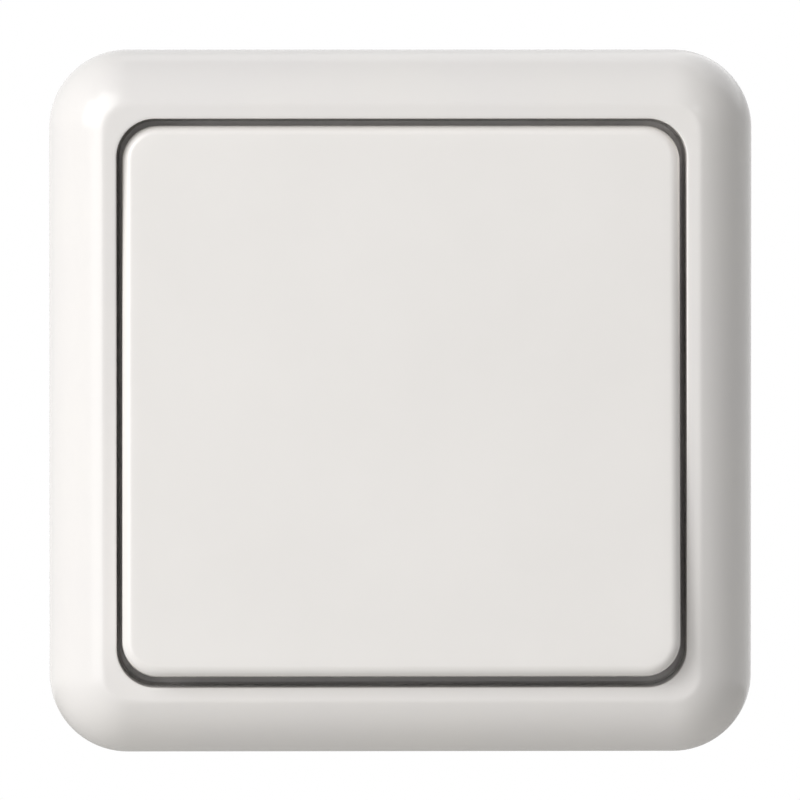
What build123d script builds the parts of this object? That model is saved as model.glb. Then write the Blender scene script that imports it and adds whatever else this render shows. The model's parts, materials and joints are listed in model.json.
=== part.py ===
from build123d import *
import os
from math import acos, atan2, cos, degrees, hypot, radians, sin, sqrt, tan

# One-gang rocker light switch for a round flush wall box: a moulded cover frame and a wide rocker
# in front of the wall, and the switch insert behind it.
# The frame is X to the right, Z up, and Y into the wall. The wall surface is the plane Y = 0 and the
# origin is the middle of the fixing screw pattern. "Height" means millimetres in front of the wall
# (towards -Y), and "depth" means millimetres behind it (towards +Y).
# Everything is drawn with the rocker and the contact lever level, and both are then turned about
# their own axes into the position they rest in, with the top of the rocker pressed in.

# Cover frame
frame_size = 80.0  # width and height of the frame at the wall
frame_corner = 8.9  # radius of its outline corners
frame_height = 10.7  # height that the rounded front would reach if it ran on to the middle
frame_front_radius = 8.2  # quarter round from the side wall over to the front
frame_wall = 2.0
border_side = 7.55  # from the outline to the opening, left and right
border_end = 7.6  # the same at the top and bottom
opening_corner = 4.45
opening_edge_radius = 0.25
opening_draft = 1.2  # degrees, narrower towards the wall
band_drop = 0.8  # from the frame's height back to the front edge of the opening
band_slope = 16.0  # degrees that the inner band rises away from the opening
band_cutter_rise = 2.0
band_crease_radius = 0.6  # where the band meets the rounded front
foot_edge_radius = 0.3
ledge_front = 4.6  # height of the ledge inside the opening
ledge_back = 3.2
ledge_reach = 3.3  # how far the ledge stands in from the opening
lip_wall = 1.5  # wall round the opening
lip_foot = 1.6  # height of its rear edge, clear of the support ring
screw_notch = 11.0  # width of the notches in the lip for the heads of the box screws
frame_rib = 1.0  # stiffening ribs behind the front
frame_rib_pitch = 20.0
frame_rib_count = 3
frame_rib_foot = 2.0  # height at which the ribs stop

# Pegs that clip the frame to the support ring
peg_inset = 2.45  # from the side of the opening in to the middle of a peg
peg_radius = 1.35
peg_barb = 0.25  # how far the barbs stand out
peg_barb_depth = 0.3
peg_tip_depth = 1.7
peg_tip_radius = 0.95
peg_slit = 0.7
peg_foot_radius = 2.2
peg_foot_gap = 0.2  # between the foot of a peg and the ring
peg_clearance = 0.12

# Rocker
rocker_gap_side = 0.85  # between the rocker and the opening, left and right
rocker_gap_end = 1.2  # the same at the top and bottom
rocker_corner = 4.0
rocker_stand = 1.4  # how far its level face stands in front of the opening's edge
rocker_skirt_depth = 4.4  # from its face back to its rear edge
rocker_draft = 1.2  # degrees, wider towards the wall
rocker_edge_radius = 1.2
rocker_face_wall = 1.8
rocker_side_wall = 1.4
rocker_offset = -0.2  # it sits this far to the right of the middle of the opening
rocker_rib = 0.9
rocker_rib_depth = 1.1
rocker_rib_pitch = 12.0
rocker_rib_count = 4
guide_wall = 0.9  # guides that hold the carrier sideways
guide_depth = 1.3
guide_half_tall = 8.0

# Rocker movement
pivot_drop = 5.8  # from the rocker's face back to its pivot
rocker_tilt = 3.5  # degrees each way from level

# Carrier: the inner rocker that the visible one clips on to
carrier_half_width = 11.9
carrier_half_tall = 13.0
carrier_corner = 1.0
carrier_edge = 0.3
carrier_wall = 1.8
carrier_gap = 0.1  # between the carrier and the rocker round it
cheek_wall = 1.6
cheek_half_tall = 3.5
cheek_end_radius = 2.2
trunnion_radius = 1.5
trunnion_clearance = 0.05
trunnion_length = 3.0
barrel_radius = 3.6
barrel_reach = 7.0  # from the pivot to its open end
barrel_bore_rise = 1.0  # from the pivot to the closed end of its bore
web_wall = 1.6
web_drop = 0.5  # from the pivot back to the rear edge of the webs beside the barrel
hook_place = 7.0  # the rocker's four hooks, from the middle along X
hook_width = 4.0
hook_wall = 1.2
hook_grip = 0.8
hook_tooth = 1.1
hook_land = 0.5  # straight part of a tooth, before its sloped lead-in

# Plunger and its spring, inside the barrel
plunger_radius = 1.95
plunger_clearance = 0.08
plunger_reach = 11.0  # from the rocker pivot to the tip
plunger_length = 6.5
plunger_spigot_radius = 0.9
plunger_spigot = 1.2
plunger_wire = 0.22  # radius of the spring wire
plunger_coil = 1.5  # mean radius of the coils
plunger_turns = 6
spring_gap = 0.03  # between a spring and what it bears on

# Contact lever and contacts
contact_tilt = 9.0  # degrees each way from level
lever_gap = 0.1  # between the plunger tip and the lever when both are level
lever_wall = 1.0
lever_half_width = 3.4
lever_half_tall = 10.4
lever_corner = 1.2
lever_drop = 2.2  # from the front face of the lever back to its pivot axis
ear_wall = 1.3
ear_half_tall = 2.4
ear_drop = 0.9  # how far the ears reach behind the pivot axis
knife_radius = 0.7
knife_clearance = 0.06
knife_half_width = 4.0
notch_lean = 24.0  # degrees that each side of the notch leans out
contact_place = 8.5  # moving contacts, from the pivot along Z
contact_radius = 1.5
contact_shank = 0.7
contact_dome = 4.0  # radius of the domed face
contact_stand = 0.8  # from the back of the lever to the top of the dome
contact_touch = 0.02  # gap left at the closed contact
fixed_radius = 1.7
fixed_height = 0.9
fixed_edge_radius = 0.25

# Contact plates
plate_wall = 0.8
strip_half_width = 2.1
plate_bend = 1.2  # outer radius of the bends
strip_end = 2.6  # how far a strip runs past the middle of the switch
knife_strip_half_width = 2.6
busbar_gap = 0.15  # between a busbar and the partition beside it
busbar_stop = 1.2  # from the end of a busbar to the rear cover
busbar_half_width = 5.4

# Terminals
terminal_margin = 3.1  # from a busbar to the end wall of the housing
wire_gap = 0.25  # between a wire entry and the busbar
wire_half_pitch = 3.2
wire_radius = 1.4
wire_chamfer = 0.4
clamp_wall = 0.4
clamp_half_width = 5.2
clamp_slit = 0.6
clamp_leg_gap = 0.1  # between the leg and the outer wall
clamp_leg_rise = 12.0  # from the rear cover to the front end of the leg
clamp_bend_rise = 4.9  # from the rear cover to the middle of the bend
clamp_bend_radius = 1.4
clamp_tip_gap = 0.4  # between the middle of the tip and the busbar
clamp_tip_rise = 7.5  # from the rear cover to the tip

# Release buttons
button_offset = 2.3  # from the middle of the wire entries to the stem
button_wall = 2.0
button_half_width = 1.6
button_clearance = 0.15
button_stand = 0.9  # how far it stands out of the rear cover
button_collar = 0.8  # how far the collar stands out along Z
button_collar_length = 1.4
button_play = 0.1
button_edge = 0.2
button_foot_half_width = 1.3
button_foot_reach = 1.75  # how far the foot reaches in from the stem
button_foot_lean = 42.0  # degrees between the front of the foot and X
button_foot_gap = 0.15

# Support ring
ring_margin = 2.5  # between the ring and the frame round it
ring_corner = 6.0
ring_wall = 1.0
ring_opening_corner = 3.0
box_pitch = 60.0
box_hole_radius = 1.9
box_slot_length = 12.0
box_slot_width = 3.8
keyhole_radius = 3.8
keyhole_drop = 5.0
bead_length = 14.0
bead_width = 2.4
bead_height = 0.4
bead_place_x = 15.0
bead_place_z = 23.0
mark_depth = 1.0  # notches that mark the middle of each side

# Housing
housing_half_width = 21.0
housing_half_tall = 20.0
housing_corner = 4.0
housing_depth = 18.5
housing_wall = 1.5
terminal_room = 10.9  # from a partition's face towards the middle to the outer wall
partition_wall = 1.2
partition_front = 4.0
shelf_wall = 1.5
slot_play = 0.15

# Rear cover
rear_wall = 2.4
rear_edge_radius = 0.6
rim_wall = 1.2
rim_depth = 2.0
rim_fit = 0.15
rear_hook_half_width = 3.0
rear_hook_reach = 5.9  # from the cover forward to the end of a hook
rear_tooth = 0.8
rear_tooth_reach = 5.3  # from the cover forward to the slope of a tooth
rear_tooth_length = 1.4
rear_window_play = 0.2

# Bearing cover
bearing_lap_side = 2.0  # how far it covers the ring beside the opening
bearing_lap_end = 1.0  # the same above and below
bearing_corner = 3.0
bearing_wall = 1.6
plug_wall = 1.3
plug_clearance = 0.25
plug_depth = 2.6
window_half_width = 5.0
window_half_tall = 6.5
window_corner = 1.0
bearing_ear_gap = 0.5  # between a carrier cheek and its bearing ear
bearing_ear_wall = 2.2
bearing_ear_half_tall = 4.0
bearing_ear_corner = 1.4
bearing_ear_rise = 2.1  # from the pivot to the front of an ear
bearing_throat = 2.5
stop_half_width = 2.5  # stops under the ends of the carrier
stop_inner = 11.5
stop_outer = 12.7
stop_foot = 0.8  # how much thicker a stop is at its foot
stop_rise = 1.25  # from the pivot to the front of a stop
catch_half_width = 4.0
catch_wall = 1.3
catch_tooth = 0.85
catch_play = 0.1  # between a catch and its ledge
catch_length = 1.7
catch_ledge_reach = 1.5  # how far a ledge stands in from the end wall
catch_ledge_front = 1.6
catch_ledge_back = 4.0
catch_ledge_half_width = 4.5

# Claws that spread against the wall box, and their screws
screw_offset = 2.6  # from the claw's pivot to the screw
screw_radius = 1.5
screw_end = 16.0
screw_head_radius = 3.1
screw_head = 2.0
screw_head_edge = 0.5
screw_hole_radius = 1.7
screw_slot = 0.8
screw_slot_depth = 1.1
screw_point = 0.3
claw_pivot_gap = 1.4  # from the side of the housing to the claw's pivot
claw_pivot_depth = 6.0
claw_pin_radius = 0.9
claw_pin_clearance = 0.08
claw_pin_root = 1.0
claw_wall = 1.2
claw_bend = 1.7  # outer radius of the bends
claw_half_width = 6.4
claw_tab = 6.2  # from the pivot to the end of the tab
claw_arm_end = 17.6
claw_toe = 1.8
claw_fork_front = 6.9
claw_fork_half_gap = 2.1
claw_eye_start = 0.4  # from the pivot to the eye in the tab
claw_eye_length = 4.8
claw_eye_half_width = 1.7
claw_tooth_depth = 0.7
claw_tooth_places = (3.9, 5.6)  # from the middle, both ways
lug_gap = 0.3
lug_wall = 1.5
lug_half_depth = 1.9
claw_coil = 2.15
claw_wire = 0.25
claw_turns = 4

# Places that follow from the sizes above
opening_width = frame_size - 2 * border_side
opening_tall = frame_size - 2 * border_end
band_height = frame_height - band_drop
peg_place = opening_width / 2 - peg_inset
rocker_width = opening_width - 2 * rocker_gap_side
rocker_tall = opening_tall - 2 * rocker_gap_end
rocker_height = band_height + rocker_stand
rocker_skirt = rocker_height - rocker_skirt_depth
pivot_height = rocker_height - pivot_drop
carrier_front = rocker_height - rocker_face_wall - carrier_gap
carrier_back = carrier_front - carrier_wall
barrel_end = barrel_reach - pivot_height
barrel_bore_height = pivot_height + barrel_bore_rise
web_height = pivot_height - web_drop
lever_front = plunger_reach - pivot_height + lever_gap
lever_back = lever_front + lever_wall
knife_depth = lever_front + lever_drop
dome_place = lever_back + contact_stand - contact_dome - knife_depth
tilt = radians(contact_tilt)
fixed_face = knife_depth + dome_place * cos(tilt) + contact_place * sin(tilt) + contact_dome + contact_touch
fixed_place = contact_place * cos(tilt) - dome_place * sin(tilt)
strip_front = fixed_face + fixed_height
strip_back = strip_front + plate_wall
inner_half_width = housing_half_width - housing_wall
inner_half_tall = housing_half_tall - housing_wall
rear_face = housing_depth + rear_wall
partition_place = inner_half_width - terminal_room
busbar_place = partition_place + partition_wall + busbar_gap
busbar_end = housing_depth - busbar_stop
terminal_place = inner_half_tall - terminal_margin - busbar_half_width
wire_place = busbar_place + plate_wall + wire_gap + wire_radius
clamp_leg_place = inner_half_width - clamp_leg_gap - clamp_wall / 2
clamp_leg_front = housing_depth - clamp_leg_rise
clamp_bend_depth = housing_depth - clamp_bend_rise
clamp_tip_place = busbar_place + plate_wall + clamp_tip_gap
clamp_tip_depth = housing_depth - clamp_tip_rise
button_inner = wire_place + button_offset
button_outer = button_inner + button_wall
button_foot_inner = button_inner - button_foot_reach
rear_hook_front = housing_depth - rear_hook_reach
rear_tooth_front = housing_depth - rear_tooth_reach
rear_tooth_back = rear_tooth_front + rear_tooth_length
ring_size = frame_size - 2 * (frame_wall + ring_margin)
ring_opening = 2 * (inner_half_tall - catch_ledge_reach)
bearing_half_width = ring_opening / 2 + bearing_lap_side
bearing_half_tall = ring_opening / 2 + bearing_lap_end
bearing_front = ring_wall + bearing_wall
bearing_ear_height = pivot_height + bearing_ear_rise
stop_height = pivot_height + stop_rise
plug_half = ring_opening / 2 - plug_clearance
catch_front = catch_ledge_back + catch_play
catch_back = catch_front + catch_length
ear_place = carrier_half_width + bearing_ear_gap
ear_end = ear_place + bearing_ear_wall
claw_pivot_place = housing_half_width + claw_pivot_gap
claw_tab_end = claw_pivot_place + claw_tab
claw_eye_inner = claw_pivot_place + claw_eye_start
claw_eye_outer = claw_eye_inner + claw_eye_length
screw_place = claw_pivot_place + screw_offset
terminals = ((-1, 0), (1, terminal_place), (1, -terminal_place))  # side along X, middle along Z
rocker_pivot = Axis((0, -pivot_height, 0), (1, 0, 0))
lever_pivot = Axis((0, knife_depth, 0), (1, 0, 0))

os.makedirs("parts", exist_ok=True)


def at_height(height):
    """Sketch plane parallel to the wall, this far in front of it, with X right and Z up."""
    return Plane.XZ.offset(height)


def at_depth(depth):
    """Sketch plane parallel to the wall, this far behind its surface, with X right and Z up."""
    return Plane.XZ.offset(-depth)


def block(x, y, z, mode=Mode.ADD):
    """Box between two X, two Y and two Z values, for use inside a part."""
    with Locations(((x[0] + x[1]) / 2, (y[0] + y[1]) / 2, (z[0] + z[1]) / 2)):
        Box(abs(x[1] - x[0]), abs(y[1] - y[0]), abs(z[1] - z[0]), mode=mode)


def rod(x, y, z, radius, mode=Mode.ADD):
    """Cylinder along Y between two Y values, for use inside a part."""
    with Locations(Location((x, (y[0] + y[1]) / 2, z), (90, 0, 0))):
        Cylinder(radius, y[1] - y[0], mode=mode)


def turned(profile):
    """Solid turned about the Y axis from radius and depth pairs."""
    with BuildPart() as solid:
        with BuildSketch(Plane.XY):
            with BuildLine():
                Polyline(*profile, close=True)
            make_face()
        revolve(axis=Axis.Y)
    return solid.part


def pulled(x, profile):
    """Solid between two X values from depth and Z pairs."""
    with BuildPart() as solid:
        with BuildSketch(Plane.YZ.offset(x[0])):
            with BuildLine():
                Polyline(*profile, close=True)
            make_face()
        extrude(amount=x[1] - x[0])
    return solid.part


def bent(path, bend, wall, half_width):
    """Bent sheet from a path along its outer face in X and Y, with the wall to the left of it."""
    with BuildPart() as solid:
        with BuildSketch(Plane.XY.offset(-half_width)):
            with BuildLine():
                FilletPolyline(*path, radius=bend)
                offset(amount=wall, side=Side.LEFT)
            make_face()
        extrude(amount=2 * half_width)
    return solid.part


def spring(x, y, z, coil, wire, turns):
    """Coil spring along Y that fits between two Y values."""
    rise = y[1] - y[0] - 2 * wire
    with BuildPart() as coiled:
        with BuildLine() as path:
            Helix(rise / turns, rise, coil)
        with BuildSketch(path.line ^ 0):
            Circle(wire)
        sweep(is_frenet=True)
    return coiled.part.moved(Location((x, y[0] + wire, z), (-90, 0, 0)))


def save(part, name):
    """Labels a finished piece and writes it."""
    part.label = name
    export_step(part, f"parts/{name}.step")


# Cover frame: hollow behind its rounded front, apart from the lip round the opening and the ribs
frame_inside = frame_size - 2 * frame_wall
lip_outside = opening_width + 2 * lip_wall
draft_in = 2 * (band_height - ledge_front) * tan(radians(opening_draft))
band_out = 2 * band_cutter_rise / tan(radians(band_slope))
band_edges = (
    (band_height + band_drop / 4, frame_height, band_crease_radius),
    (band_height - band_drop / 4, band_height + band_drop / 8, opening_edge_radius),
)
upright = (Align.CENTER, Align.CENTER, Align.MIN)

with BuildPart() as frame_hollow:
    with BuildSketch(at_height(0)):
        RectangleRounded(frame_inside, frame_inside, frame_corner - frame_wall)
    extrude(amount=frame_height - frame_wall)
    fillet(frame_hollow.faces().sort_by(Axis.Y)[0].edges(), frame_front_radius - frame_wall)
    with BuildSketch(at_height(lip_foot)):
        RectangleRounded(lip_outside, opening_tall + 2 * lip_wall, opening_corner + lip_wall)
    extrude(amount=frame_height, mode=Mode.SUBTRACT)
    with BuildSketch(at_height(frame_rib_foot)):
        with GridLocations(frame_rib_pitch, 0, frame_rib_count, 1):
            Rectangle(frame_rib, frame_size)
        with GridLocations(0, frame_rib_pitch, 1, frame_rib_count):
            Rectangle(frame_size, frame_rib)
    extrude(amount=frame_height, mode=Mode.SUBTRACT)

with BuildPart() as opening_cutter:
    with BuildSketch(at_height(ledge_front)):
        RectangleRounded(opening_width - draft_in, opening_tall - draft_in, opening_corner - draft_in / 2)
    with BuildSketch(at_height(band_height)):
        RectangleRounded(opening_width, opening_tall, opening_corner)
    loft()
    with BuildSketch(at_height(0)):
        RectangleRounded(opening_width - draft_in, opening_tall - draft_in, opening_corner - draft_in / 2)
    extrude(amount=ledge_back)
    with BuildSketch(at_height(ledge_back)):
        RectangleRounded(opening_width - 2 * ledge_reach, opening_tall - 2 * ledge_reach, opening_corner)
    extrude(amount=ledge_front - ledge_back)

with BuildPart() as band_cutter:
    with BuildSketch(at_height(band_height)):
        RectangleRounded(opening_width, opening_tall, opening_corner)
    with BuildSketch(at_height(band_height + band_cutter_rise)):
        RectangleRounded(opening_width + band_out, opening_tall + band_out, opening_corner + band_out / 2)
    loft()

with BuildPart() as cover_frame:
    with BuildSketch(at_height(0)):
        RectangleRounded(frame_size, frame_size, frame_corner)
    extrude(amount=frame_height)
    fillet(cover_frame.faces().sort_by(Axis.Y)[0].edges(), frame_front_radius)
    fillet(cover_frame.faces().sort_by(Axis.Y)[-1].edges(), foot_edge_radius)
    add(opening_cutter.part, mode=Mode.SUBTRACT)
    add(band_cutter.part, mode=Mode.SUBTRACT)
    for low, high, radius in band_edges:
        fillet(cover_frame.edges().filter_by_position(Axis.Y, -high, -low), radius)
    add(frame_hollow.part, mode=Mode.SUBTRACT)
    with BuildSketch(at_height(0)):
        Rectangle(screw_notch, lip_outside)
        Rectangle(lip_outside, screw_notch)
    extrude(amount=ledge_back, mode=Mode.SUBTRACT)
    with Locations(at_height(ring_wall + peg_foot_gap)):
        with GridLocations(2 * peg_place, 2 * peg_place, 2, 2):
            Cylinder(peg_foot_radius, ledge_back - ring_wall - peg_foot_gap, align=upright)
    with Locations(at_depth(peg_tip_depth)):
        with GridLocations(2 * peg_place, 2 * peg_place, 2, 2):
            Cylinder(peg_radius, ledge_back + peg_tip_depth, align=upright)
            Cone(peg_tip_radius, peg_radius + peg_barb, peg_tip_depth - peg_barb_depth, align=upright)
            Box(
                peg_slit,
                2 * peg_foot_radius,
                ring_wall + peg_foot_gap + peg_tip_depth,
                align=upright,
                mode=Mode.SUBTRACT,
            )
save(cover_frame.part, "cover_frame")

# Rocker, drawn level: a shallow cap with hooks, guides and ribs on its back
rocker_back = rocker_height - rocker_face_wall
skirt_out = 2 * (rocker_height - rocker_skirt) * tan(radians(rocker_draft))
hook_inner = carrier_half_tall + carrier_gap
hook_outer = hook_inner + hook_wall
guide_inner = carrier_half_width + carrier_gap
guide_outer = guide_inner + guide_wall
tooth_front = carrier_gap - carrier_back
tooth_end = carrier_half_tall - hook_grip
hook_x = (hook_place - hook_width / 2, hook_place + hook_width / 2)
hook_profile = (
    (-rocker_back, hook_inner),
    (tooth_front, hook_inner),
    (tooth_front, tooth_end),
    (tooth_front + hook_land, tooth_end),
    (tooth_front + hook_tooth, hook_inner),
    (tooth_front + hook_tooth, hook_outer),
    (-rocker_back, hook_outer),
)

with BuildPart() as rocker_fittings:
    add(pulled(hook_x, hook_profile))
    with BuildSketch(at_height(rocker_back)):
        with Locations(((guide_inner + guide_outer) / 2, 0)):
            Rectangle(guide_wall, 2 * guide_half_tall)
    extrude(amount=-guide_depth)
    mirror(about=Plane.XY)
    mirror(about=Plane.YZ)

with BuildPart() as rocker_level:
    with BuildSketch(at_height(rocker_skirt)):
        with Locations((rocker_offset, 0)):
            RectangleRounded(
                rocker_width + skirt_out, rocker_tall + skirt_out, rocker_corner + skirt_out / 2
            )
    with BuildSketch(at_height(rocker_height)):
        with Locations((rocker_offset, 0)):
            RectangleRounded(rocker_width, rocker_tall, rocker_corner)
    loft()
    fillet(rocker_level.faces().sort_by(Axis.Y)[0].edges(), rocker_edge_radius)
    with BuildSketch(at_height(rocker_skirt)):
        with Locations((rocker_offset, 0)):
            RectangleRounded(
                rocker_width - 2 * rocker_side_wall,
                rocker_tall - 2 * rocker_side_wall,
                rocker_corner - rocker_side_wall,
            )
    extrude(amount=rocker_back - rocker_skirt, mode=Mode.SUBTRACT)
    with BuildSketch(at_height(rocker_back - rocker_rib_depth)):
        with GridLocations(rocker_rib_pitch, 0, rocker_rib_count, 1):
            Rectangle(rocker_rib, rocker_tall - rocker_side_wall)
        with Locations((rocker_offset, 0)):
            with GridLocations(0, rocker_rib_pitch, 1, rocker_rib_count):
                Rectangle(rocker_width - rocker_side_wall, rocker_rib)
        Rectangle(2 * guide_outer, 2 * hook_outer, mode=Mode.SUBTRACT)
    extrude(amount=rocker_rib_depth)
    add(rocker_fittings.part)
save(rocker_level.part.rotate(rocker_pivot, -rocker_tilt), "rocker")

# Carrier, drawn level: plate, cheeks that taper to the trunnions, and the barrel for the plunger
with BuildPart() as carrier_cheek:
    with BuildSketch(Plane.YZ.offset(carrier_half_width - cheek_wall)):
        with BuildLine():
            Polyline(
                (-carrier_back, -cheek_half_tall),
                (-carrier_back, cheek_half_tall),
                (-pivot_height, cheek_end_radius),
                (-pivot_height, -cheek_end_radius),
                close=True,
            )
        make_face()
        with Locations((-pivot_height, 0)):
            Circle(cheek_end_radius)
    extrude(amount=cheek_wall)
    with BuildSketch(Plane.YZ.offset(carrier_half_width)):
        with Locations((-pivot_height, 0)):
            Circle(trunnion_radius)
    extrude(amount=trunnion_length)
    mirror(about=Plane.YZ)

with BuildPart() as carrier_level:
    with BuildSketch(at_height(carrier_back)):
        RectangleRounded(2 * carrier_half_width, 2 * carrier_half_tall, carrier_corner)
    extrude(amount=carrier_wall)
    with BuildSketch(at_height(web_height)):
        Rectangle(2 * carrier_half_width, web_wall)
    extrude(amount=carrier_back - web_height)
    add(carrier_cheek.part)
    barrel = (
        (0, -carrier_back),
        (barrel_radius, -carrier_back),
        (barrel_radius, barrel_end - carrier_edge),
        (barrel_radius - carrier_edge, barrel_end),
        (0, barrel_end),
    )
    add(turned(barrel))
    bore_radius = plunger_radius + plunger_clearance
    bore = (
        (0, -barrel_bore_height),
        (bore_radius, -barrel_bore_height),
        (bore_radius, barrel_end - carrier_edge),
        (bore_radius + carrier_edge, barrel_end),
        (0, barrel_end),
    )
    add(turned(bore), mode=Mode.SUBTRACT)
save(carrier_level.part.rotate(rocker_pivot, -rocker_tilt), "rocker_carrier")

# Plunger with a round tip and a spigot for its spring
plunger_tip = plunger_reach - pivot_height
plunger_top = plunger_tip - plunger_length
with BuildPart() as plunger_level:
    with BuildSketch(Plane.XY):
        with BuildLine():
            Polyline(
                (0, plunger_tip),
                (0, plunger_top - plunger_spigot),
                (plunger_spigot_radius, plunger_top - plunger_spigot),
                (plunger_spigot_radius, plunger_top),
                (plunger_radius, plunger_top),
                (plunger_radius, plunger_tip - plunger_radius),
            )
            RadiusArc((0, plunger_tip), (plunger_radius, plunger_tip - plunger_radius), plunger_radius)
        make_face()
    revolve(axis=Axis.Y)
save(plunger_level.part.rotate(rocker_pivot, -rocker_tilt), "plunger")

plunger_seat = (spring_gap - barrel_bore_height, plunger_top - spring_gap)
plunger_spring = spring(0, plunger_seat, 0, plunger_coil, plunger_wire, plunger_turns)
save(plunger_spring.rotate(rocker_pivot, -rocker_tilt), "plunger_spring")

# Contact lever, drawn level: a plate with two notched ears that rock on the knife edge
notch_radius = knife_radius + knife_clearance
lean = radians(notch_lean)
notch_root = (knife_depth - notch_radius * sin(lean), notch_radius * cos(lean))
notch_run = 2 * ear_half_tall
notch_mouth = (notch_root[0] + notch_run * cos(lean), notch_root[1] + notch_run * sin(lean))

with BuildPart() as lever_ears:
    with BuildSketch(Plane.YZ.offset(lever_half_width - ear_wall)):
        with BuildLine():
            Polyline(
                (lever_back, -ear_half_tall),
                (lever_back, ear_half_tall),
                (knife_depth + ear_drop, ear_half_tall),
                (knife_depth + ear_drop, -ear_half_tall),
                close=True,
            )
        make_face()
        with Locations((knife_depth, 0)):
            Circle(notch_radius, mode=Mode.SUBTRACT)
        with BuildLine():
            Polyline(
                notch_root,
                notch_mouth,
                (notch_mouth[0], -notch_mouth[1]),
                (notch_root[0], -notch_root[1]),
                close=True,
            )
        make_face(mode=Mode.SUBTRACT)
    extrude(amount=ear_wall)
    mirror(about=Plane.YZ)

with BuildPart() as lever_level:
    with BuildSketch(at_depth(lever_back)):
        RectangleRounded(2 * lever_half_width, 2 * lever_half_tall, lever_corner)
        with Locations((0, -contact_place), (0, contact_place)):
            Circle(contact_shank, mode=Mode.SUBTRACT)
    extrude(amount=lever_wall)
    add(lever_ears.part)
save(lever_level.part.rotate(lever_pivot, contact_tilt), "contact_lever")

with BuildPart() as moving_contact:
    rod(0, (lever_front, lever_back), contact_place, contact_shank)
    rod(0, (lever_back, lever_back + contact_stand), contact_place, contact_radius)
    with Locations((0, knife_depth + dome_place, contact_place)):
        Sphere(contact_dome, mode=Mode.INTERSECT)
save(moving_contact.part.rotate(lever_pivot, contact_tilt), "upper_moving_contact")
save(moving_contact.part.mirror(Plane.XY).rotate(lever_pivot, contact_tilt), "lower_moving_contact")

# Fixed contacts and the bent plates that carry them to the terminals
with BuildPart() as fixed_contact:
    rod(0, (fixed_face, strip_front), fixed_place, fixed_radius)
    fillet(fixed_contact.edges().sort_by(Axis.Y)[0], fixed_edge_radius)
    rod(0, (strip_front, strip_back), fixed_place, contact_shank)
save(fixed_contact.part, "upper_fixed_contact")
save(fixed_contact.part.mirror(Plane.XY), "lower_fixed_contact")

busbar_outer = busbar_place + plate_wall
plate_path = ((-strip_end, strip_front), (busbar_outer, strip_front), (busbar_outer, busbar_end))
with BuildPart() as contact_plate:
    add(bent(plate_path, plate_bend, plate_wall, busbar_half_width).moved(Location((0, 0, terminal_place))))
    with BuildSketch(at_depth(strip_back + plate_bend)):
        with Locations((0, terminal_place)):
            Rectangle(2 * busbar_place, 2 * busbar_half_width)
        with Locations((0, fixed_place)):
            Rectangle(2 * busbar_place, 2 * strip_half_width, mode=Mode.SUBTRACT)
            Circle(contact_shank)
    extrude(amount=plate_wall + 2 * plate_bend, mode=Mode.SUBTRACT)
save(contact_plate.part, "upper_contact_plate")
save(contact_plate.part.mirror(Plane.XY), "lower_contact_plate")

knife_path = ((-knife_half_width, strip_front), (busbar_outer, strip_front), (busbar_outer, busbar_end))
with BuildPart() as common_plate:
    add(bent(knife_path, plate_bend, plate_wall, busbar_half_width))
    with BuildSketch(at_depth(strip_back + plate_bend)):
        Rectangle(2 * busbar_place, 2 * busbar_half_width)
        Rectangle(2 * busbar_place, 2 * knife_strip_half_width, mode=Mode.SUBTRACT)
    extrude(amount=plate_wall + 2 * plate_bend, mode=Mode.SUBTRACT)
    with BuildSketch(Plane.YZ.offset(-knife_half_width)):
        with Locations(((knife_depth + strip_front) / 2, 0)):
            Rectangle(strip_front - knife_depth, 2 * knife_radius)
        with Locations((knife_depth, 0)):
            Circle(knife_radius)
    extrude(amount=2 * knife_half_width)
save(common_plate.part.mirror(Plane.YZ), "common_contact_plate")

# Terminal springs: a leg along the outer wall, a bend, and an arm back to the busbar in two fingers
bend = (clamp_leg_place - clamp_bend_radius, clamp_bend_depth)
reach = (clamp_tip_place - bend[0], clamp_tip_depth - bend[1])
bend_angle = degrees(atan2(reach[1], reach[0])) % 360 - degrees(acos(clamp_bend_radius / hypot(*reach)))
arm_length = sqrt(hypot(*reach) ** 2 - clamp_bend_radius**2)
arm = Vector(-sin(radians(bend_angle)), cos(radians(bend_angle))) * arm_length

with BuildPart() as clamp:
    with BuildSketch(Plane.XY.offset(-clamp_half_width)):
        with BuildLine():
            outside = CenterArc(bend, clamp_bend_radius + clamp_wall / 2, 0, bend_angle)
            inside = CenterArc(bend, clamp_bend_radius - clamp_wall / 2, 0, bend_angle)
            Polyline(
                outside @ 0,
                (clamp_leg_place + clamp_wall / 2, clamp_leg_front),
                (clamp_leg_place - clamp_wall / 2, clamp_leg_front),
                inside @ 0,
            )
            Polyline(outside @ 1, (outside @ 1) + arm, (inside @ 1) + arm, inside @ 1)
        make_face()
    extrude(amount=2 * clamp_half_width)
    block(
        (clamp_tip_place - clamp_wall, bend[0] - clamp_bend_radius),
        (clamp_tip_depth - clamp_wall, clamp_bend_depth + 2 * clamp_bend_radius),
        (-clamp_slit / 2, clamp_slit / 2),
        Mode.SUBTRACT,
    )
save(clamp.part.mirror(Plane.YZ), "common_terminal_spring")
save(clamp.part.moved(Location((0, 0, terminal_place))), "upper_terminal_spring")
save(clamp.part.moved(Location((0, 0, -terminal_place))), "lower_terminal_spring")

# Release buttons: a stem through the rear cover, a collar that keeps it in, and a foot on the spring
collar_back = housing_depth - button_play
collar_front = collar_back - button_collar_length
arm_root = Vector(*bend) + Vector(cos(radians(bend_angle)), sin(radians(bend_angle))) * clamp_bend_radius
arm_slope = arm.Y / arm.X
arm_skin = clamp_wall / 2 * arm_length / abs(arm.X)
foot_depth = arm_root.Y + (button_foot_inner - arm_root.X) * arm_slope + arm_skin + button_foot_gap
foot_rise = (button_outer - button_foot_inner) * tan(radians(button_foot_lean))
button_middle = (button_inner + button_outer) / 2
button_end = rear_face + button_stand

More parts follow.
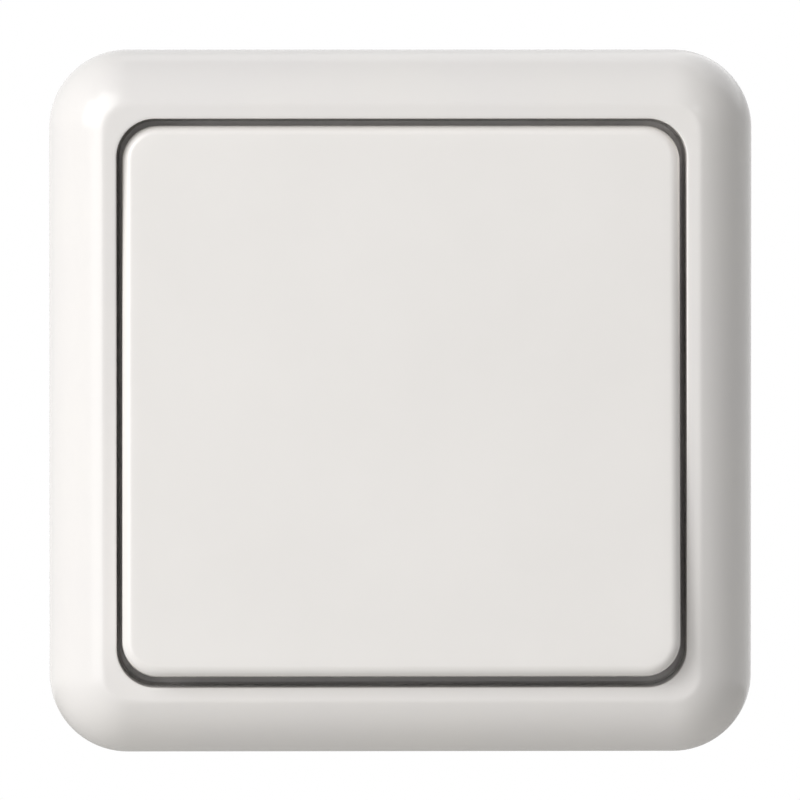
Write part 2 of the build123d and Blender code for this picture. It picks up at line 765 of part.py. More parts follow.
with BuildPart() as button:
    with BuildSketch(at_depth(collar_front)):
        with Locations((button_middle, 0)):
            Rectangle(button_wall, 2 * button_half_width)
    extrude(amount=collar_front - button_end)
    chamfer(button.faces().sort_by(Axis.Y)[-1].edges(), button_edge)
    with BuildSketch(at_depth(collar_front)):
        with Locations((button_middle, 0)):
            Rectangle(button_wall, 2 * (button_half_width + button_collar))
    extrude(amount=collar_front - collar_back)
    with BuildSketch(Plane.XY.offset(-button_foot_half_width)):
        with BuildLine():
            Polyline(
                (button_foot_inner, foot_depth),
                (button_outer, foot_depth + foot_rise),
                (button_outer, collar_front),
                (button_foot_inner, collar_front),
                close=True,
            )
        make_face()
    extrude(amount=2 * button_foot_half_width)
save(button.part.mirror(Plane.YZ), "common_release_button")
save(button.part.moved(Location((0, 0, terminal_place))), "upper_release_button")
save(button.part.moved(Location((0, 0, -terminal_place))), "lower_release_button")

# Support ring: the stamped plate that is screwed or clawed to the wall box
half_pitch = box_pitch / 2
with BuildPart() as support_ring:
    with BuildSketch(at_height(0)):
        RectangleRounded(ring_size, ring_size, ring_corner)
        RectangleRounded(ring_opening, ring_opening, ring_opening_corner, mode=Mode.SUBTRACT)
        with Locations((0, -half_pitch), (0, half_pitch)):
            Circle(box_hole_radius, mode=Mode.SUBTRACT)
        with Locations((-half_pitch, 0), (half_pitch, 0)):
            SlotOverall(box_slot_length, box_slot_width, rotation=90, mode=Mode.SUBTRACT)
        with Locations((-half_pitch, -keyhole_drop), (half_pitch, -keyhole_drop)):
            Circle(keyhole_radius, mode=Mode.SUBTRACT)
        with Locations((-screw_place, 0), (screw_place, 0)):
            Circle(screw_hole_radius, mode=Mode.SUBTRACT)
        with GridLocations(2 * peg_place, 2 * peg_place, 2, 2):
            Circle(peg_radius + peg_clearance, mode=Mode.SUBTRACT)
        with PolarLocations(ring_size / 2, 4):
            RegularPolygon(mark_depth, 4, rotation=45, mode=Mode.SUBTRACT)
    extrude(amount=ring_wall)
    with BuildSketch(at_height(ring_wall)):
        with GridLocations(2 * bead_place_x, 2 * bead_place_z, 2, 2):
            SlotOverall(bead_length, bead_width)
    extrude(amount=bead_height)
save(support_ring.part, "support_ring")

# Housing: walls, partitions, the shelf under the contact plates, and the lugs that hold the claws
lug_inner = claw_half_width + lug_gap
lug_outer = lug_inner + lug_wall
ledge_x = (-catch_ledge_half_width, catch_ledge_half_width)
ledge_profile = (
    (catch_ledge_front, inner_half_tall + slot_play),
    (catch_ledge_front + catch_ledge_reach / 2, ring_opening / 2),
    (catch_ledge_back, ring_opening / 2),
    (catch_ledge_back, inner_half_tall + slot_play),
)
with BuildPart() as catch_ledges:
    add(pulled(ledge_x, ledge_profile))
    mirror(about=Plane.XY)

with BuildPart() as claw_lugs:
    with BuildSketch(Plane.XY.offset(lug_inner)):
        with BuildLine():
            Polyline(
                (housing_half_width - slot_play, claw_pivot_depth - lug_half_depth),
                (claw_pivot_place, claw_pivot_depth - lug_half_depth),
                (claw_pivot_place, claw_pivot_depth + lug_half_depth),
                (housing_half_width - slot_play, claw_pivot_depth + lug_half_depth),
                close=True,
            )
        make_face()
        with Locations((claw_pivot_place, claw_pivot_depth)):
            Circle(lug_half_depth)
            Circle(claw_pin_radius + claw_pin_clearance, mode=Mode.SUBTRACT)
    extrude(amount=lug_wall)
    mirror(about=Plane.XY)
    mirror(about=Plane.YZ)

with BuildPart() as housing:
    with BuildSketch(at_depth(0)):
        RectangleRounded(2 * housing_half_width, 2 * housing_half_tall, housing_corner)
        RectangleRounded(
            2 * inner_half_width, 2 * inner_half_tall, housing_corner - housing_wall, mode=Mode.SUBTRACT
        )
    extrude(amount=-housing_depth)
    with BuildSketch(at_depth(partition_front)):
        with GridLocations(2 * partition_place + partition_wall, 0, 2, 1):
            Rectangle(partition_wall, 2 * inner_half_tall)
    extrude(amount=partition_front - housing_depth)
    with BuildSketch(at_depth(strip_back)):
        Rectangle(2 * partition_place, 2 * inner_half_tall)
    extrude(amount=-shelf_wall)
    with BuildSketch(at_depth(partition_front)):
        with Locations((partition_place + partition_wall / 2, -fixed_place)):
            Rectangle(partition_wall, 2 * (strip_half_width + slot_play))
        with Locations((partition_place + partition_wall / 2, fixed_place)):
            Rectangle(partition_wall, 2 * (strip_half_width + slot_play))
        with Locations((-partition_place - partition_wall / 2, 0)):
            Rectangle(partition_wall, 2 * (knife_strip_half_width + slot_play))
    extrude(amount=partition_front - strip_back, mode=Mode.SUBTRACT)
    with BuildSketch(at_height(-rear_tooth_front + rear_window_play)):
        Rectangle(2 * (rear_hook_half_width + rear_window_play), 2 * housing_half_tall)
    extrude(amount=-rear_tooth_length - 2 * rear_window_play, mode=Mode.SUBTRACT)
    add(catch_ledges.part)
    add(claw_lugs.part)
save(housing.part, "housing")

# Rear cover: rim and hooks into the housing, and the openings for wires and release buttons
rim_outer_x = inner_half_width - rim_fit
rim_outer_z = inner_half_tall - rim_fit
rear_hook_x = (-rear_hook_half_width, rear_hook_half_width)
rear_hook_profile = (
    (housing_depth, rim_outer_z - rim_wall),
    (rear_hook_front, rim_outer_z - rim_wall),
    (rear_hook_front, rim_outer_z),
    (rear_tooth_front, rim_outer_z + rear_tooth),
    (rear_tooth_back, rim_outer_z + rear_tooth),
    (rear_tooth_back, rim_outer_z),
    (housing_depth, rim_outer_z),
)
with BuildPart() as rear_hooks:
    add(pulled(rear_hook_x, rear_hook_profile))
    mirror(about=Plane.XY)

with BuildPart() as rear_cover:
    with BuildSketch(at_depth(housing_depth)):
        RectangleRounded(2 * housing_half_width, 2 * housing_half_tall, housing_corner)
    extrude(amount=-rear_wall)
    fillet(rear_cover.faces().sort_by(Axis.Y)[-1].edges(), rear_edge_radius)
    with BuildSketch(at_depth(housing_depth)):
        RectangleRounded(2 * rim_outer_x, 2 * rim_outer_z, housing_corner - housing_wall)
        RectangleRounded(
            2 * (rim_outer_x - rim_wall),
            2 * (rim_outer_z - rim_wall),
            housing_corner - housing_wall - rim_wall,
            mode=Mode.SUBTRACT,
        )
        with GridLocations(2 * partition_place + partition_wall, 0, 2, 1):
            Rectangle(partition_wall + 2 * slot_play, 2 * housing_half_tall, mode=Mode.SUBTRACT)
    extrude(amount=rim_depth)
    add(rear_hooks.part)
    for side, middle in terminals:
        with BuildSketch(at_depth(rear_face)):
            with Locations((side * button_middle, middle)):
                Rectangle(button_wall + 2 * button_clearance, 2 * (button_half_width + button_clearance))
        extrude(amount=rear_wall, mode=Mode.SUBTRACT)
        for shift in (-wire_half_pitch, wire_half_pitch):
            rod(side * wire_place, (housing_depth, rear_face), middle + shift, wire_radius, Mode.SUBTRACT)
    mouths = rear_cover.edges().filter_by(GeomType.CIRCLE).filter_by(
        lambda edge: abs(edge.radius - wire_radius) < wire_chamfer / 2
    )
    chamfer(mouths.group_by(Axis.Y)[-1], wire_chamfer)
save(rear_cover.part, "rear_cover")

# Bearing cover: plate over the ring's opening, plug and catches into the housing, ears for the trunnions
stop_x = (-stop_half_width, stop_half_width)
stop_profile = (
    (-bearing_front, stop_inner),
    (-stop_height, stop_inner),
    (-stop_height, stop_outer),
    (-bearing_front, stop_outer + stop_foot),
)
catch_x = (-catch_half_width, catch_half_width)
catch_profile = (
    (plug_depth, plug_half - catch_wall),
    (catch_back, plug_half - catch_wall),
    (catch_back, plug_half),
    (catch_front + catch_tooth / 2, plug_half + catch_tooth),
    (catch_front, plug_half + catch_tooth),
    (catch_front, plug_half),
    (plug_depth, plug_half),
)
with BuildPart() as bearing_fittings:
    add(pulled(stop_x, stop_profile))
    add(pulled(catch_x, catch_profile))
    mirror(about=Plane.XY)
    with BuildSketch(Plane.YZ.offset(ear_place)):
        with Locations((-(bearing_ear_height + bearing_front) / 2, 0)):
            ear = Rectangle(bearing_ear_height - bearing_front, 2 * bearing_ear_half_tall)
        fillet(ear.vertices().group_by(Axis.Y)[0], bearing_ear_corner)
    extrude(amount=bearing_ear_wall)
    mirror(about=Plane.YZ)

with BuildPart() as bearing_cover:
    with BuildSketch(at_height(ring_wall)):
        RectangleRounded(2 * bearing_half_width, 2 * bearing_half_tall, bearing_corner)
    extrude(amount=bearing_wall)
    with BuildSketch(at_height(ring_wall)):
        RectangleRounded(2 * plug_half, 2 * plug_half, ring_opening_corner - plug_clearance)
        RectangleRounded(
            2 * (plug_half - plug_wall),
            2 * (plug_half - plug_wall),
            ring_opening_corner - plug_clearance - plug_wall,
            mode=Mode.SUBTRACT,
        )
    extrude(amount=-ring_wall - plug_depth)
    with BuildSketch(at_height(ring_wall)):
        RectangleRounded(2 * window_half_width, 2 * window_half_tall, window_corner)
    extrude(amount=bearing_wall, mode=Mode.SUBTRACT)
    add(bearing_fittings.part)
    with BuildSketch(Plane.YZ.offset(-ear_end)):
        with Locations((-pivot_height, 0)):
            Circle(trunnion_radius + trunnion_clearance)
        with Locations((-(bearing_ear_height + pivot_height) / 2, 0)):
            Rectangle(bearing_ear_height - pivot_height, bearing_throat)
    extrude(amount=2 * ear_end, mode=Mode.SUBTRACT)
save(bearing_cover.part, "bearing_cover")

# Claws: bent steel levers whose tab is drawn forward by the screw, so that the toothed fork swings outward
half_wall = claw_wall / 2
claw_outer = claw_pivot_place - half_wall
toe_end = claw_pivot_place + half_wall + claw_toe
tab_front = claw_pivot_depth - half_wall
claw_path = (
    (toe_end, claw_arm_end),
    (claw_outer, claw_arm_end),
    (claw_outer, tab_front),
    (claw_tab_end, tab_front),
)
claw_reach = claw_tab_end - claw_outer
with BuildPart() as claw:
    add(bent(claw_path, claw_bend, claw_wall, claw_half_width))
    with BuildSketch(at_depth(claw_arm_end)):
        with Locations((claw_outer + claw_reach / 2, 0)):
            Rectangle(claw_reach, 2 * claw_fork_half_gap)
    extrude(amount=claw_arm_end - claw_fork_front, mode=Mode.SUBTRACT)
    with BuildSketch(at_depth(claw_fork_front)):
        with Locations(((claw_eye_inner + claw_eye_outer) / 2, 0)):
            Rectangle(claw_eye_outer - claw_eye_inner, 2 * claw_eye_half_width)
    extrude(amount=claw_fork_front - tab_front, mode=Mode.SUBTRACT)
    with BuildSketch(at_depth(claw_arm_end)):
        for place in claw_tooth_places:
            with Locations((toe_end, -place), (toe_end, place)):
                RegularPolygon(claw_tooth_depth, 4)
    extrude(amount=claw_wall, mode=Mode.SUBTRACT)
    with Locations((claw_pivot_place, claw_pivot_depth, claw_half_width - claw_pin_root)):
        Cylinder(claw_pin_radius, lug_outer - claw_half_width + claw_pin_root, align=upright)
    with Locations((claw_pivot_place, claw_pivot_depth, -lug_outer)):
        Cylinder(claw_pin_radius, lug_outer - claw_half_width + claw_pin_root, align=upright)
save(claw.part, "claw_right")
save(claw.part.mirror(Plane.YZ), "claw_left")

with BuildPart() as claw_screw:
    rod(screw_place, (-ring_wall - screw_head, -ring_wall), 0, screw_head_radius)
    fillet(claw_screw.edges().sort_by(Axis.Y)[0], screw_head_edge)
    rod(screw_place, (-ring_wall, screw_end), 0, screw_radius)
    chamfer(claw_screw.edges().sort_by(Axis.Y)[-1], screw_point)
    with BuildSketch(at_height(ring_wall + screw_head)):
        with Locations((screw_place, 0)):
            Rectangle(2 * screw_head_radius, screw_slot)
    extrude(amount=-screw_slot_depth, mode=Mode.SUBTRACT)
save(claw_screw.part, "claw_screw_right")
save(claw_screw.part.mirror(Plane.YZ), "claw_screw_left")

claw_seat = (spring_gap, tab_front - spring_gap)
claw_spring = spring(screw_place, claw_seat, 0, claw_coil, claw_wire, claw_turns)
save(claw_spring, "claw_spring_right")
save(claw_spring.mirror(Plane.YZ), "claw_spring_left")
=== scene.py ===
# %% [markdown]
# # A one-gang rocker switch, dressed for the camera
# The switch comes from the CAD pack as 29 solids on 11 moving bodies. This script gives the two large
# white mouldings, the claw screws and the coil springs a finer surface, keeps the other solids as they
# are, and makes a procedural material for each. X is to the right, Z is up and Y runs into the wall.

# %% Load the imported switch
import json
import math

import bmesh
import bpy
import numpy as np
from mathutils import Matrix, Vector

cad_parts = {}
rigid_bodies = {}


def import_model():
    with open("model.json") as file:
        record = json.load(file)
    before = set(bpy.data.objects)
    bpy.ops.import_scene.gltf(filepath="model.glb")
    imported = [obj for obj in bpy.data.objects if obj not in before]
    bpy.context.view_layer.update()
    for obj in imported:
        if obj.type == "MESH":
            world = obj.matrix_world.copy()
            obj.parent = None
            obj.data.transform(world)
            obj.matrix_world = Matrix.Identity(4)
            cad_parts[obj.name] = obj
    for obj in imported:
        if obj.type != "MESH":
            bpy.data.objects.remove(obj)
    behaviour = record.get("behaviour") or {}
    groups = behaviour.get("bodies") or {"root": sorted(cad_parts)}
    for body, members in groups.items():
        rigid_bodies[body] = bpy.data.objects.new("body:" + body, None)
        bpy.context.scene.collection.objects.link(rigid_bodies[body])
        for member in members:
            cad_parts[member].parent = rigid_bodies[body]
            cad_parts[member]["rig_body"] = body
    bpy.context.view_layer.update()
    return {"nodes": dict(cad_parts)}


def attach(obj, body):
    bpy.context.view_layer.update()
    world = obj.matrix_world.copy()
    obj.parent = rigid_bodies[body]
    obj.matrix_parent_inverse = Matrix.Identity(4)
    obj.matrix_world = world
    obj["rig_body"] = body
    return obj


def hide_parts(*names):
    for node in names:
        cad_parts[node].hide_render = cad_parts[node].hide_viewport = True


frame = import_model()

MM = 0.001


# %% [markdown]
# ## Node tools
# Materials and shapes here are both node trees. One function adds a node with its settings and links, so
# each step below reads as a list of what goes into what. A node given as an input stands for its first
# output. Colours are written as the sRGB hex values that a colour picker shows, and Blender's shaders
# want linear light, so one function turns one into the other.

# %% One way to add a node, and one way to write a colour
def add(tree, kind, inputs=None, **settings):
    """Adds a node: settings are its own options, inputs are linked where they are sockets or nodes."""
    node = tree.nodes.new(kind)
    for name, value in settings.items():
        setattr(node, name, value)
    for key, value in (inputs or {}).items():
        value = value.outputs[0] if isinstance(value, bpy.types.Node) else value
        if isinstance(value, bpy.types.NodeSocket):
            tree.links.new(value, node.inputs[key])
        else:
            node.inputs[key].default_value = value
    return node


def colour(hex_code):
    """An sRGB hex colour as the linear colour that shaders take."""
    parts = [int(hex_code[start:start + 2], 16) / 255 for start in (1, 3, 5)]
    return tuple(c / 12.92 if c <= 0.04045 else ((c + 0.055) / 1.055) ** 2.4 for c in parts) + (1.0,)


def pattern(millimetres):
    """The noise scale whose features are about this many millimetres across."""
    return 1 / (millimetres * MM)


print("A 12 mm pattern has noise scale", round(pattern(12), 1))


# %% [markdown]
# ## Materials
# Each finish starts from what the real one is. Most of them share the same three layers, so one function
# builds them: a colour that wanders between two close shades, a roughness that wanders too, and a fine
# relief. A Bevel node rounds the light on sharp edges by a fraction of a millimetre, as a tool or a mould
# would. Constant values go straight on the shader, because the export drops a linked IOR or sheen.

# %% The layers that the finishes share
def finish(name, shades, cloud, rough, grain, relief, edge, metallic=0.0, stretch=(1, 1, 1)):
    """A procedural finish. cloud and grain are pattern sizes in mm, relief and edge are in mm too."""
    material = bpy.data.materials.new(name)
    material.use_nodes = True
    tree = material.node_tree
    tree.nodes.clear()
    place = add(tree, "ShaderNodeTexCoord").outputs["Object"]
    turned = add(tree, "ShaderNodeMapping", {"Vector": place, "Scale": stretch})
    # Noise keeps mostly between 0.3 and 0.7, so that part of it is stretched over the whole range.
    wander = add(tree, "ShaderNodeTexNoise", {"Vector": turned, "Scale": pattern(cloud), "Detail": 3.0})
    speckle = add(tree, "ShaderNodeTexNoise", {"Vector": turned, "Scale": pattern(grain), "Detail": 2.0})
    tint = add(tree, "ShaderNodeMapRange", {"Value": wander, "From Min": 0.35, "From Max": 0.65})
    paint = add(tree, "ShaderNodeMix", {0: tint, 6: colour(shades[0]), 7: colour(shades[1])},
                data_type="RGBA")
    gloss = add(tree, "ShaderNodeMapRange", {"Value": speckle, "From Min": 0.3, "From Max": 0.7,
                                             "To Min": rough[0], "To Max": rough[1]})
    bump = add(tree, "ShaderNodeBump", {"Height": speckle, "Strength": 1.0, "Distance": relief * MM})
    if edge:
        rounded = add(tree, "ShaderNodeBevel", {"Radius": edge * MM}, samples=4)
        tree.links.new(rounded.outputs[0], bump.inputs["Normal"])
    surface = add(tree, "ShaderNodeBsdfPrincipled", {
        "Base Color": paint.outputs[2], "Roughness": gloss, "Normal": bump,
        "Metallic": metallic, "IOR": 1.5})
    add(tree, "ShaderNodeOutputMaterial", {"Surface": surface})
    return material


# %% The finishes of this switch
# Glossy white ABS, injection moulded in a polished tool: clean reflections, hardly any pattern.
white_frame_abs = finish("glossy white ABS frame", ("#F1EEEB", "#EFECEA"), 14, (0.20, 0.25), 0.7, 0.0004, 0)
white_rocker_abs = finish("glossy white ABS rocker", ("#F5F2EF", "#F3F0ED"), 16, (0.22, 0.27), 0.7, 0.0004,
                          0)
# Light grey polycarbonate with a fine spark-eroded mould texture: soft highlights.
grey_polycarbonate = finish("light grey polycarbonate", ("#D9D9D5", "#D0D0CC"), 6, (0.42, 0.52), 0.35, 0.006,
                            0.15)
# Pale grey thermoset, pressed: cloudy flow marks and small filler specks, quite dull.
pressed_thermoset = finish("pressed grey thermoset", ("#CBCBC7", "#C7C8C4"), 5, (0.50, 0.62), 0.25, 0.006,
                           0.15)
# Natural acetal: slightly waxy white with soft highlights.
natural_acetal = finish("natural white acetal", ("#EDECE7", "#E6E5DF"), 4, (0.30, 0.38), 0.5, 0.002, 0.10)
# Orange polyamide for the release buttons: dyed through, faint clouding.
orange_polyamide = finish("orange polyamide", ("#E5701F", "#D96414"), 3, (0.40, 0.50), 0.3, 0.006, 0.12)
# Zinc-plated sheet steel: bright grey with cool cloudy patches and rolling streaks along X.
zinc_sheet = finish("zinc plated sheet steel", ("#C0C5C9", "#B3B9BD"), 5, (0.26, 0.38), 0.5, 0.002, 0.12,
                    metallic=1.0, stretch=(0.15, 1, 1))
zinc_claw = finish("zinc plated claw steel", ("#BFC1BF", "#A9ABA8"), 3, (0.28, 0.42), 0.4, 0.003, 0.12,
                   metallic=1.0, stretch=(1, 0.2, 1))
# Yellow passivated screw steel: a warm tint that drifts to green-grey.
passivated_screw = finish("passivated screw steel", ("#CFC8A9", "#B9B9A8"), 1.5, (0.22, 0.34), 0.3, 0.001,
                          0.06, metallic=1.0)
# Spring steel, drawn or rolled bright: darker grey and even.
bright_spring = finish("bright spring steel", ("#A2A4A8", "#8F9195"), 2, (0.24, 0.34), 0.3, 0.001, 0.05,
                       metallic=1.0)
# Rolled brass strip: warm yellow with faint brown tarnish and fine rolling lines along X.
rolled_brass = finish("rolled brass strip", ("#D8B567", "#C39C50"), 4, (0.22, 0.36), 0.35, 0.002, 0.10,
                      metallic=1.0, stretch=(0.2, 1, 1))
# Silver alloy contacts: pale and smooth.
contact_silver = finish("silver alloy contact", ("#E3E2DF", "#D4D3D0"), 1.5, (0.18, 0.28), 0.2, 0.0005, 0.05,
                        metallic=1.0)

SLOT_FINISHES = {
    "frame_plastic": white_frame_abs, "rocker_plastic": white_rocker_abs,
    "insert_plastic": grey_polycarbonate, "housing_plastic": pressed_thermoset,
    "plunger_plastic": natural_acetal, "button_plastic": orange_polyamide,
    "ring_steel": zinc_sheet, "claw_steel": zinc_claw, "screw_steel": passivated_screw,
    "spring_steel": bright_spring, "contact_brass": rolled_brass, "contact_silver": contact_silver,
}
for node in frame["nodes"].values():
    for material_slot in node.material_slots:
        slot_name = material_slot.material.name.split(".")[0]
        material_slot.material = SLOT_FINISHES[slot_name]
print("Finishes:", len(SLOT_FINISHES))


# %% [markdown]
# ## Growing a mesh from a node tree
# A Geometry Nodes modifier needs a host mesh. This helper sets the tree's named inputs by their socket
# identifiers before anything is evaluated, takes the result as a plain mesh and drops the modifier.

# %% Trees with named inputs, and what they grow
SOCKETS = {int: "NodeSocketInt", float: "NodeSocketFloat", tuple: "NodeSocketVector",
           bpy.types.Material: "NodeSocketMaterial"}


def new_tree(name, **sizes):
    """An empty tree with a geometry input, these named inputs and a geometry output."""
    tree = bpy.data.node_groups.new(name, "GeometryNodeTree")
    tree.interface.new_socket(name="Geometry", in_out="INPUT", socket_type="NodeSocketGeometry")
    tree.interface.new_socket(name="Geometry", in_out="OUTPUT", socket_type="NodeSocketGeometry")
    for label, value in sizes.items():
        socket = tree.interface.new_socket(name=label, in_out="INPUT", socket_type=SOCKETS[type(value)])
        socket.default_value = value
    given = tree.nodes.new("NodeGroupInput").outputs
    return tree, {socket.name: socket for socket in given if socket.name}


def close_tree(tree, geometry, given):
    """Ends a tree as the export needs it: real geometry with its finish set."""
    real = add(tree, "GeometryNodeRealizeInstances", {"Geometry": geometry})
    painted = add(tree, "GeometryNodeSetMaterial", {"Geometry": real, "Material": given["finish"]})
    add(tree, "NodeGroupOutput", {"Geometry": painted})


def grow(steps, points, marks=None):
    """Runs (tree, sizes) steps on a host mesh of points in mm, with marks as named point values."""
    mesh = bpy.data.meshes.new("host")
    mesh.from_pydata([[value * MM for value in point] for point in points], [], [])
    for label, values in (marks or {}).items():
        mesh.attributes.new(label, "FLOAT", "POINT").data.foreach_set("value", np.array(values, np.float32))
    return grow_from(mesh, steps)


def grow_from(mesh, steps):
    """Runs (tree, sizes) steps on a mesh, takes the result as a plain mesh and removes the host."""
    host = bpy.data.objects.new("host", mesh)
    bpy.context.scene.collection.objects.link(host)
    for tree, sizes in steps:
        modifier = host.modifiers.new("grow", "NODES")
        modifier.node_group = tree
        for socket in tree.interface.items_tree:
            if socket.in_out == "INPUT" and socket.name in sizes:
                modifier[socket.identifier] = sizes[socket.name]
    depsgraph = bpy.context.evaluated_depsgraph_get()
    grown = bpy.data.meshes.new_from_object(host.evaluated_get(depsgraph))
    bpy.data.objects.remove(host)
    return grown


# %% [markdown]
# ## Rounded square rings
# The cover frame and the rocker are both stacks of rounded squares: outline, crease, opening, ledge and
# back again. A sweep can't make them, because the corner radius changes from ring to ring. So each ring
# is given as the sharp corner of its square with a corner radius, and a node tree turns a grid of points
# into the rings. With a corner radius as large as the square's half side, a ring is a circle, and the same
# tree turns pegs and screw heads.

# %% The ring tree
def ring_tree():
    """Host points are the rings' sharp corners, with their radius in the mark `corner`, in metres."""
    tree, given = new_tree("Rounded square rings", arc_steps=12, side_steps=6, finish=white_frame_abs)
    rows = add(tree, "GeometryNodeAttributeDomainSize", {"Geometry": given["Geometry"]}, component="MESH")
    per_side = add(tree, "ShaderNodeMath", {0: given["arc_steps"], 1: given["side_steps"]}, operation="ADD")
    columns = add(tree, "ShaderNodeMath", {0: per_side, 1: 4.0, 2: 1.0}, operation="MULTIPLY_ADD")
    grid = add(tree, "GeometryNodeMeshGrid", {"Vertices X": columns, "Vertices Y": rows})
    # A column of the grid is one step round the square: its quarter, and how far along its arc and side.
    index = add(tree, "GeometryNodeInputIndex")
    share = add(tree, "ShaderNodeMath", {0: index, 1: rows}, operation="DIVIDE")
    column = add(tree, "ShaderNodeMath", {0: share}, operation="FLOOR")
    row = add(tree, "ShaderNodeMath", {0: index, 1: rows}, operation="MODULO")
    turns = add(tree, "ShaderNodeMath", {0: column, 1: per_side}, operation="DIVIDE")
    quarter = add(tree, "ShaderNodeMath", {0: turns}, operation="FLOOR")
    step = add(tree, "ShaderNodeMath", {0: column, 1: per_side}, operation="MODULO")
    arc = add(tree, "ShaderNodeMath", {0: step, 1: given["arc_steps"]}, operation="DIVIDE", use_clamp=True)
    past = add(tree, "ShaderNodeMath", {0: step, 1: given["arc_steps"]}, operation="SUBTRACT")
    side = add(tree, "ShaderNodeMath", {0: past, 1: given["side_steps"]}, operation="DIVIDE", use_clamp=True)
    turned = add(tree, "ShaderNodeMath", {0: quarter, 1: arc}, operation="ADD")
    angle = add(tree, "ShaderNodeMath", {0: turned, 1: math.pi / 2}, operation="MULTIPLY")
    corner_angle = add(tree, "ShaderNodeMath", {0: quarter, 1: math.pi / 2}, operation="MULTIPLY")
    next_angle = add(tree, "ShaderNodeMath", {0: corner_angle, 1: math.pi / 2}, operation="ADD")
    # The point is its corner's centre, slid to the next one along the side, plus an arm of the radius.
    out = add(tree, "ShaderNodeVectorRotate", {"Vector": (0, 0, 1), "Angle": angle}, rotation_type="Y_AXIS")
    here = add(tree, "ShaderNodeVectorRotate", {"Vector": (1, 1, 1), "Angle": corner_angle},
               rotation_type="Y_AXIS")
    there = add(tree, "ShaderNodeVectorRotate", {"Vector": (1, 1, 1), "Angle": next_angle},
                rotation_type="Y_AXIS")
    way = add(tree, "ShaderNodeMix", {0: side}, data_type="VECTOR")
    tree.links.new(here.outputs[0], way.inputs[4])
    tree.links.new(there.outputs[0], way.inputs[5])
    place = add(tree, "GeometryNodeInputPosition")
    sharp = add(tree, "GeometryNodeSampleIndex", {"Geometry": given["Geometry"], "Index": row},
                data_type="FLOAT_VECTOR")
    tree.links.new(place.outputs[0], sharp.inputs["Value"])
    marked = add(tree, "GeometryNodeInputNamedAttribute", {"Name": "corner"}, data_type="FLOAT")
    corner = add(tree, "GeometryNodeSampleIndex", {"Geometry": given["Geometry"], "Index": row},
                 data_type="FLOAT")
    tree.links.new(marked.outputs[0], corner.inputs["Value"])
    inset = add(tree, "ShaderNodeCombineXYZ", {0: corner, 2: corner})
    centre = add(tree, "ShaderNodeVectorMath", {0: sharp, 1: inset}, operation="SUBTRACT")
    arm = add(tree, "ShaderNodeVectorMath", {0: out, "Scale": corner}, operation="SCALE")
    point = add(tree, "ShaderNodeVectorMath", {0: way.outputs[1], 1: centre, 2: arm},
                operation="MULTIPLY_ADD")
    placed = add(tree, "GeometryNodeSetPosition", {"Geometry": grid, "Position": point})
    marked = add(tree, "GeometryNodeInputNamedAttribute", {"Name": "front"}, data_type="FLOAT")
    mark = add(tree, "GeometryNodeSampleIndex", {"Geometry": given["Geometry"], "Index": row},
               data_type="FLOAT")
    tree.links.new(marked.outputs[0], mark.inputs["Value"])
    kept = add(tree, "GeometryNodeStoreNamedAttribute", {"Geometry": placed, "Name": "front", "Value": mark},
               data_type="FLOAT", domain="POINT")
    closed = add(tree, "GeometryNodeMergeByDistance", {"Geometry": kept, "Distance": 2e-7})
    close_tree(tree, closed, given)
    return tree


rounded_rings = ring_tree()


def rings(rows, arc_steps, side_steps, material, then=()):
    """A mesh through rings: (half x, half z, corner radius, height off the wall, front mark)."""
    points = [(row[0], -row[3], row[1]) for row in rows]
    sizes = {"arc_steps": arc_steps, "side_steps": side_steps, "finish": material}
    marks = {"corner": [row[2] * MM for row in rows], "front": [row[4] for row in rows]}
    mesh = grow([(rounded_rings, sizes), *then], points, marks=marks)
    point_outwards(mesh)
    return mesh


def point_outwards(mesh):
    """Turns the faces of a closed shell to look outwards."""
    form = bmesh.new()
    form.from_mesh(mesh)
    bmesh.ops.recalc_face_normals(form, faces=form.faces)
    form.to_mesh(mesh)
    form.free()


SHARP_ANGLE = math.radians(35)


def show(mesh, name):
    """An object at the origin that shows the mesh, shaded smooth apart from its sharp edges."""
    mesh.name = name
    mesh.shade_smooth()
    mesh.set_sharp_from_angle(angle=SHARP_ANGLE)
    piece = bpy.data.objects.new(name, mesh)
    bpy.context.scene.collection.objects.link(piece)
    return piece


def arc_points(centre, radius, start, end, steps):
    """Points of an arc in a section: (outwards, height) from a centre, angles in degrees."""
    angles = np.radians(np.linspace(start, end, steps + 1))
    return [(centre[0] + radius * math.cos(a), centre[1] + radius * math.sin(a)) for a in angles]


print("Ring tree nodes:", len(rounded_rings.nodes))


# %% [markdown]
# ## The cover frame
# The real frame is one moulding of about 2 mm wall. Seen from the front it has three surfaces: a large
# quarter round that runs in from the side wall, an inner band that falls only a little towards the opening,
# and the soft crease where they meet. The crease isn't a ring of constant height: it climbs a little in the
# corners, because the outline and the opening have different radii there. So the front isn't drawn as
# rings: its rings only give the places in plan, and a second node tree sets their height by rule, as the
# smooth minimum of the quarter round and the band. The same quarter round, smaller by the wall, makes
# the hollow back.

# %% Sizes of the frame in mm
FRAME_HALF, FRAME_CORNER, FRONT_HEIGHT, FRONT_RADIUS, WALL = 40.0, 8.9, 10.7, 8.7, 2.0
OPENING_X, OPENING_Z, OPENING_CORNER = 32.35, 32.27, 4.4
BAND_HEIGHT, BAND_SLOPE, CREASE = 10.27, math.radians(1.5), 0.14
LEDGE_FRONT, LEDGE_BACK, LEDGE_REACH, LIP_WALL, LIP_FOOT = 4.6, 3.2, 3.2, 1.6, 1.6
OPENING_EDGE, FOOT_EDGE, RIM_EDGE, FOOT_TOP = 0.17, 0.3, 0.2, 1.4
DRAFT = math.radians(1.2)


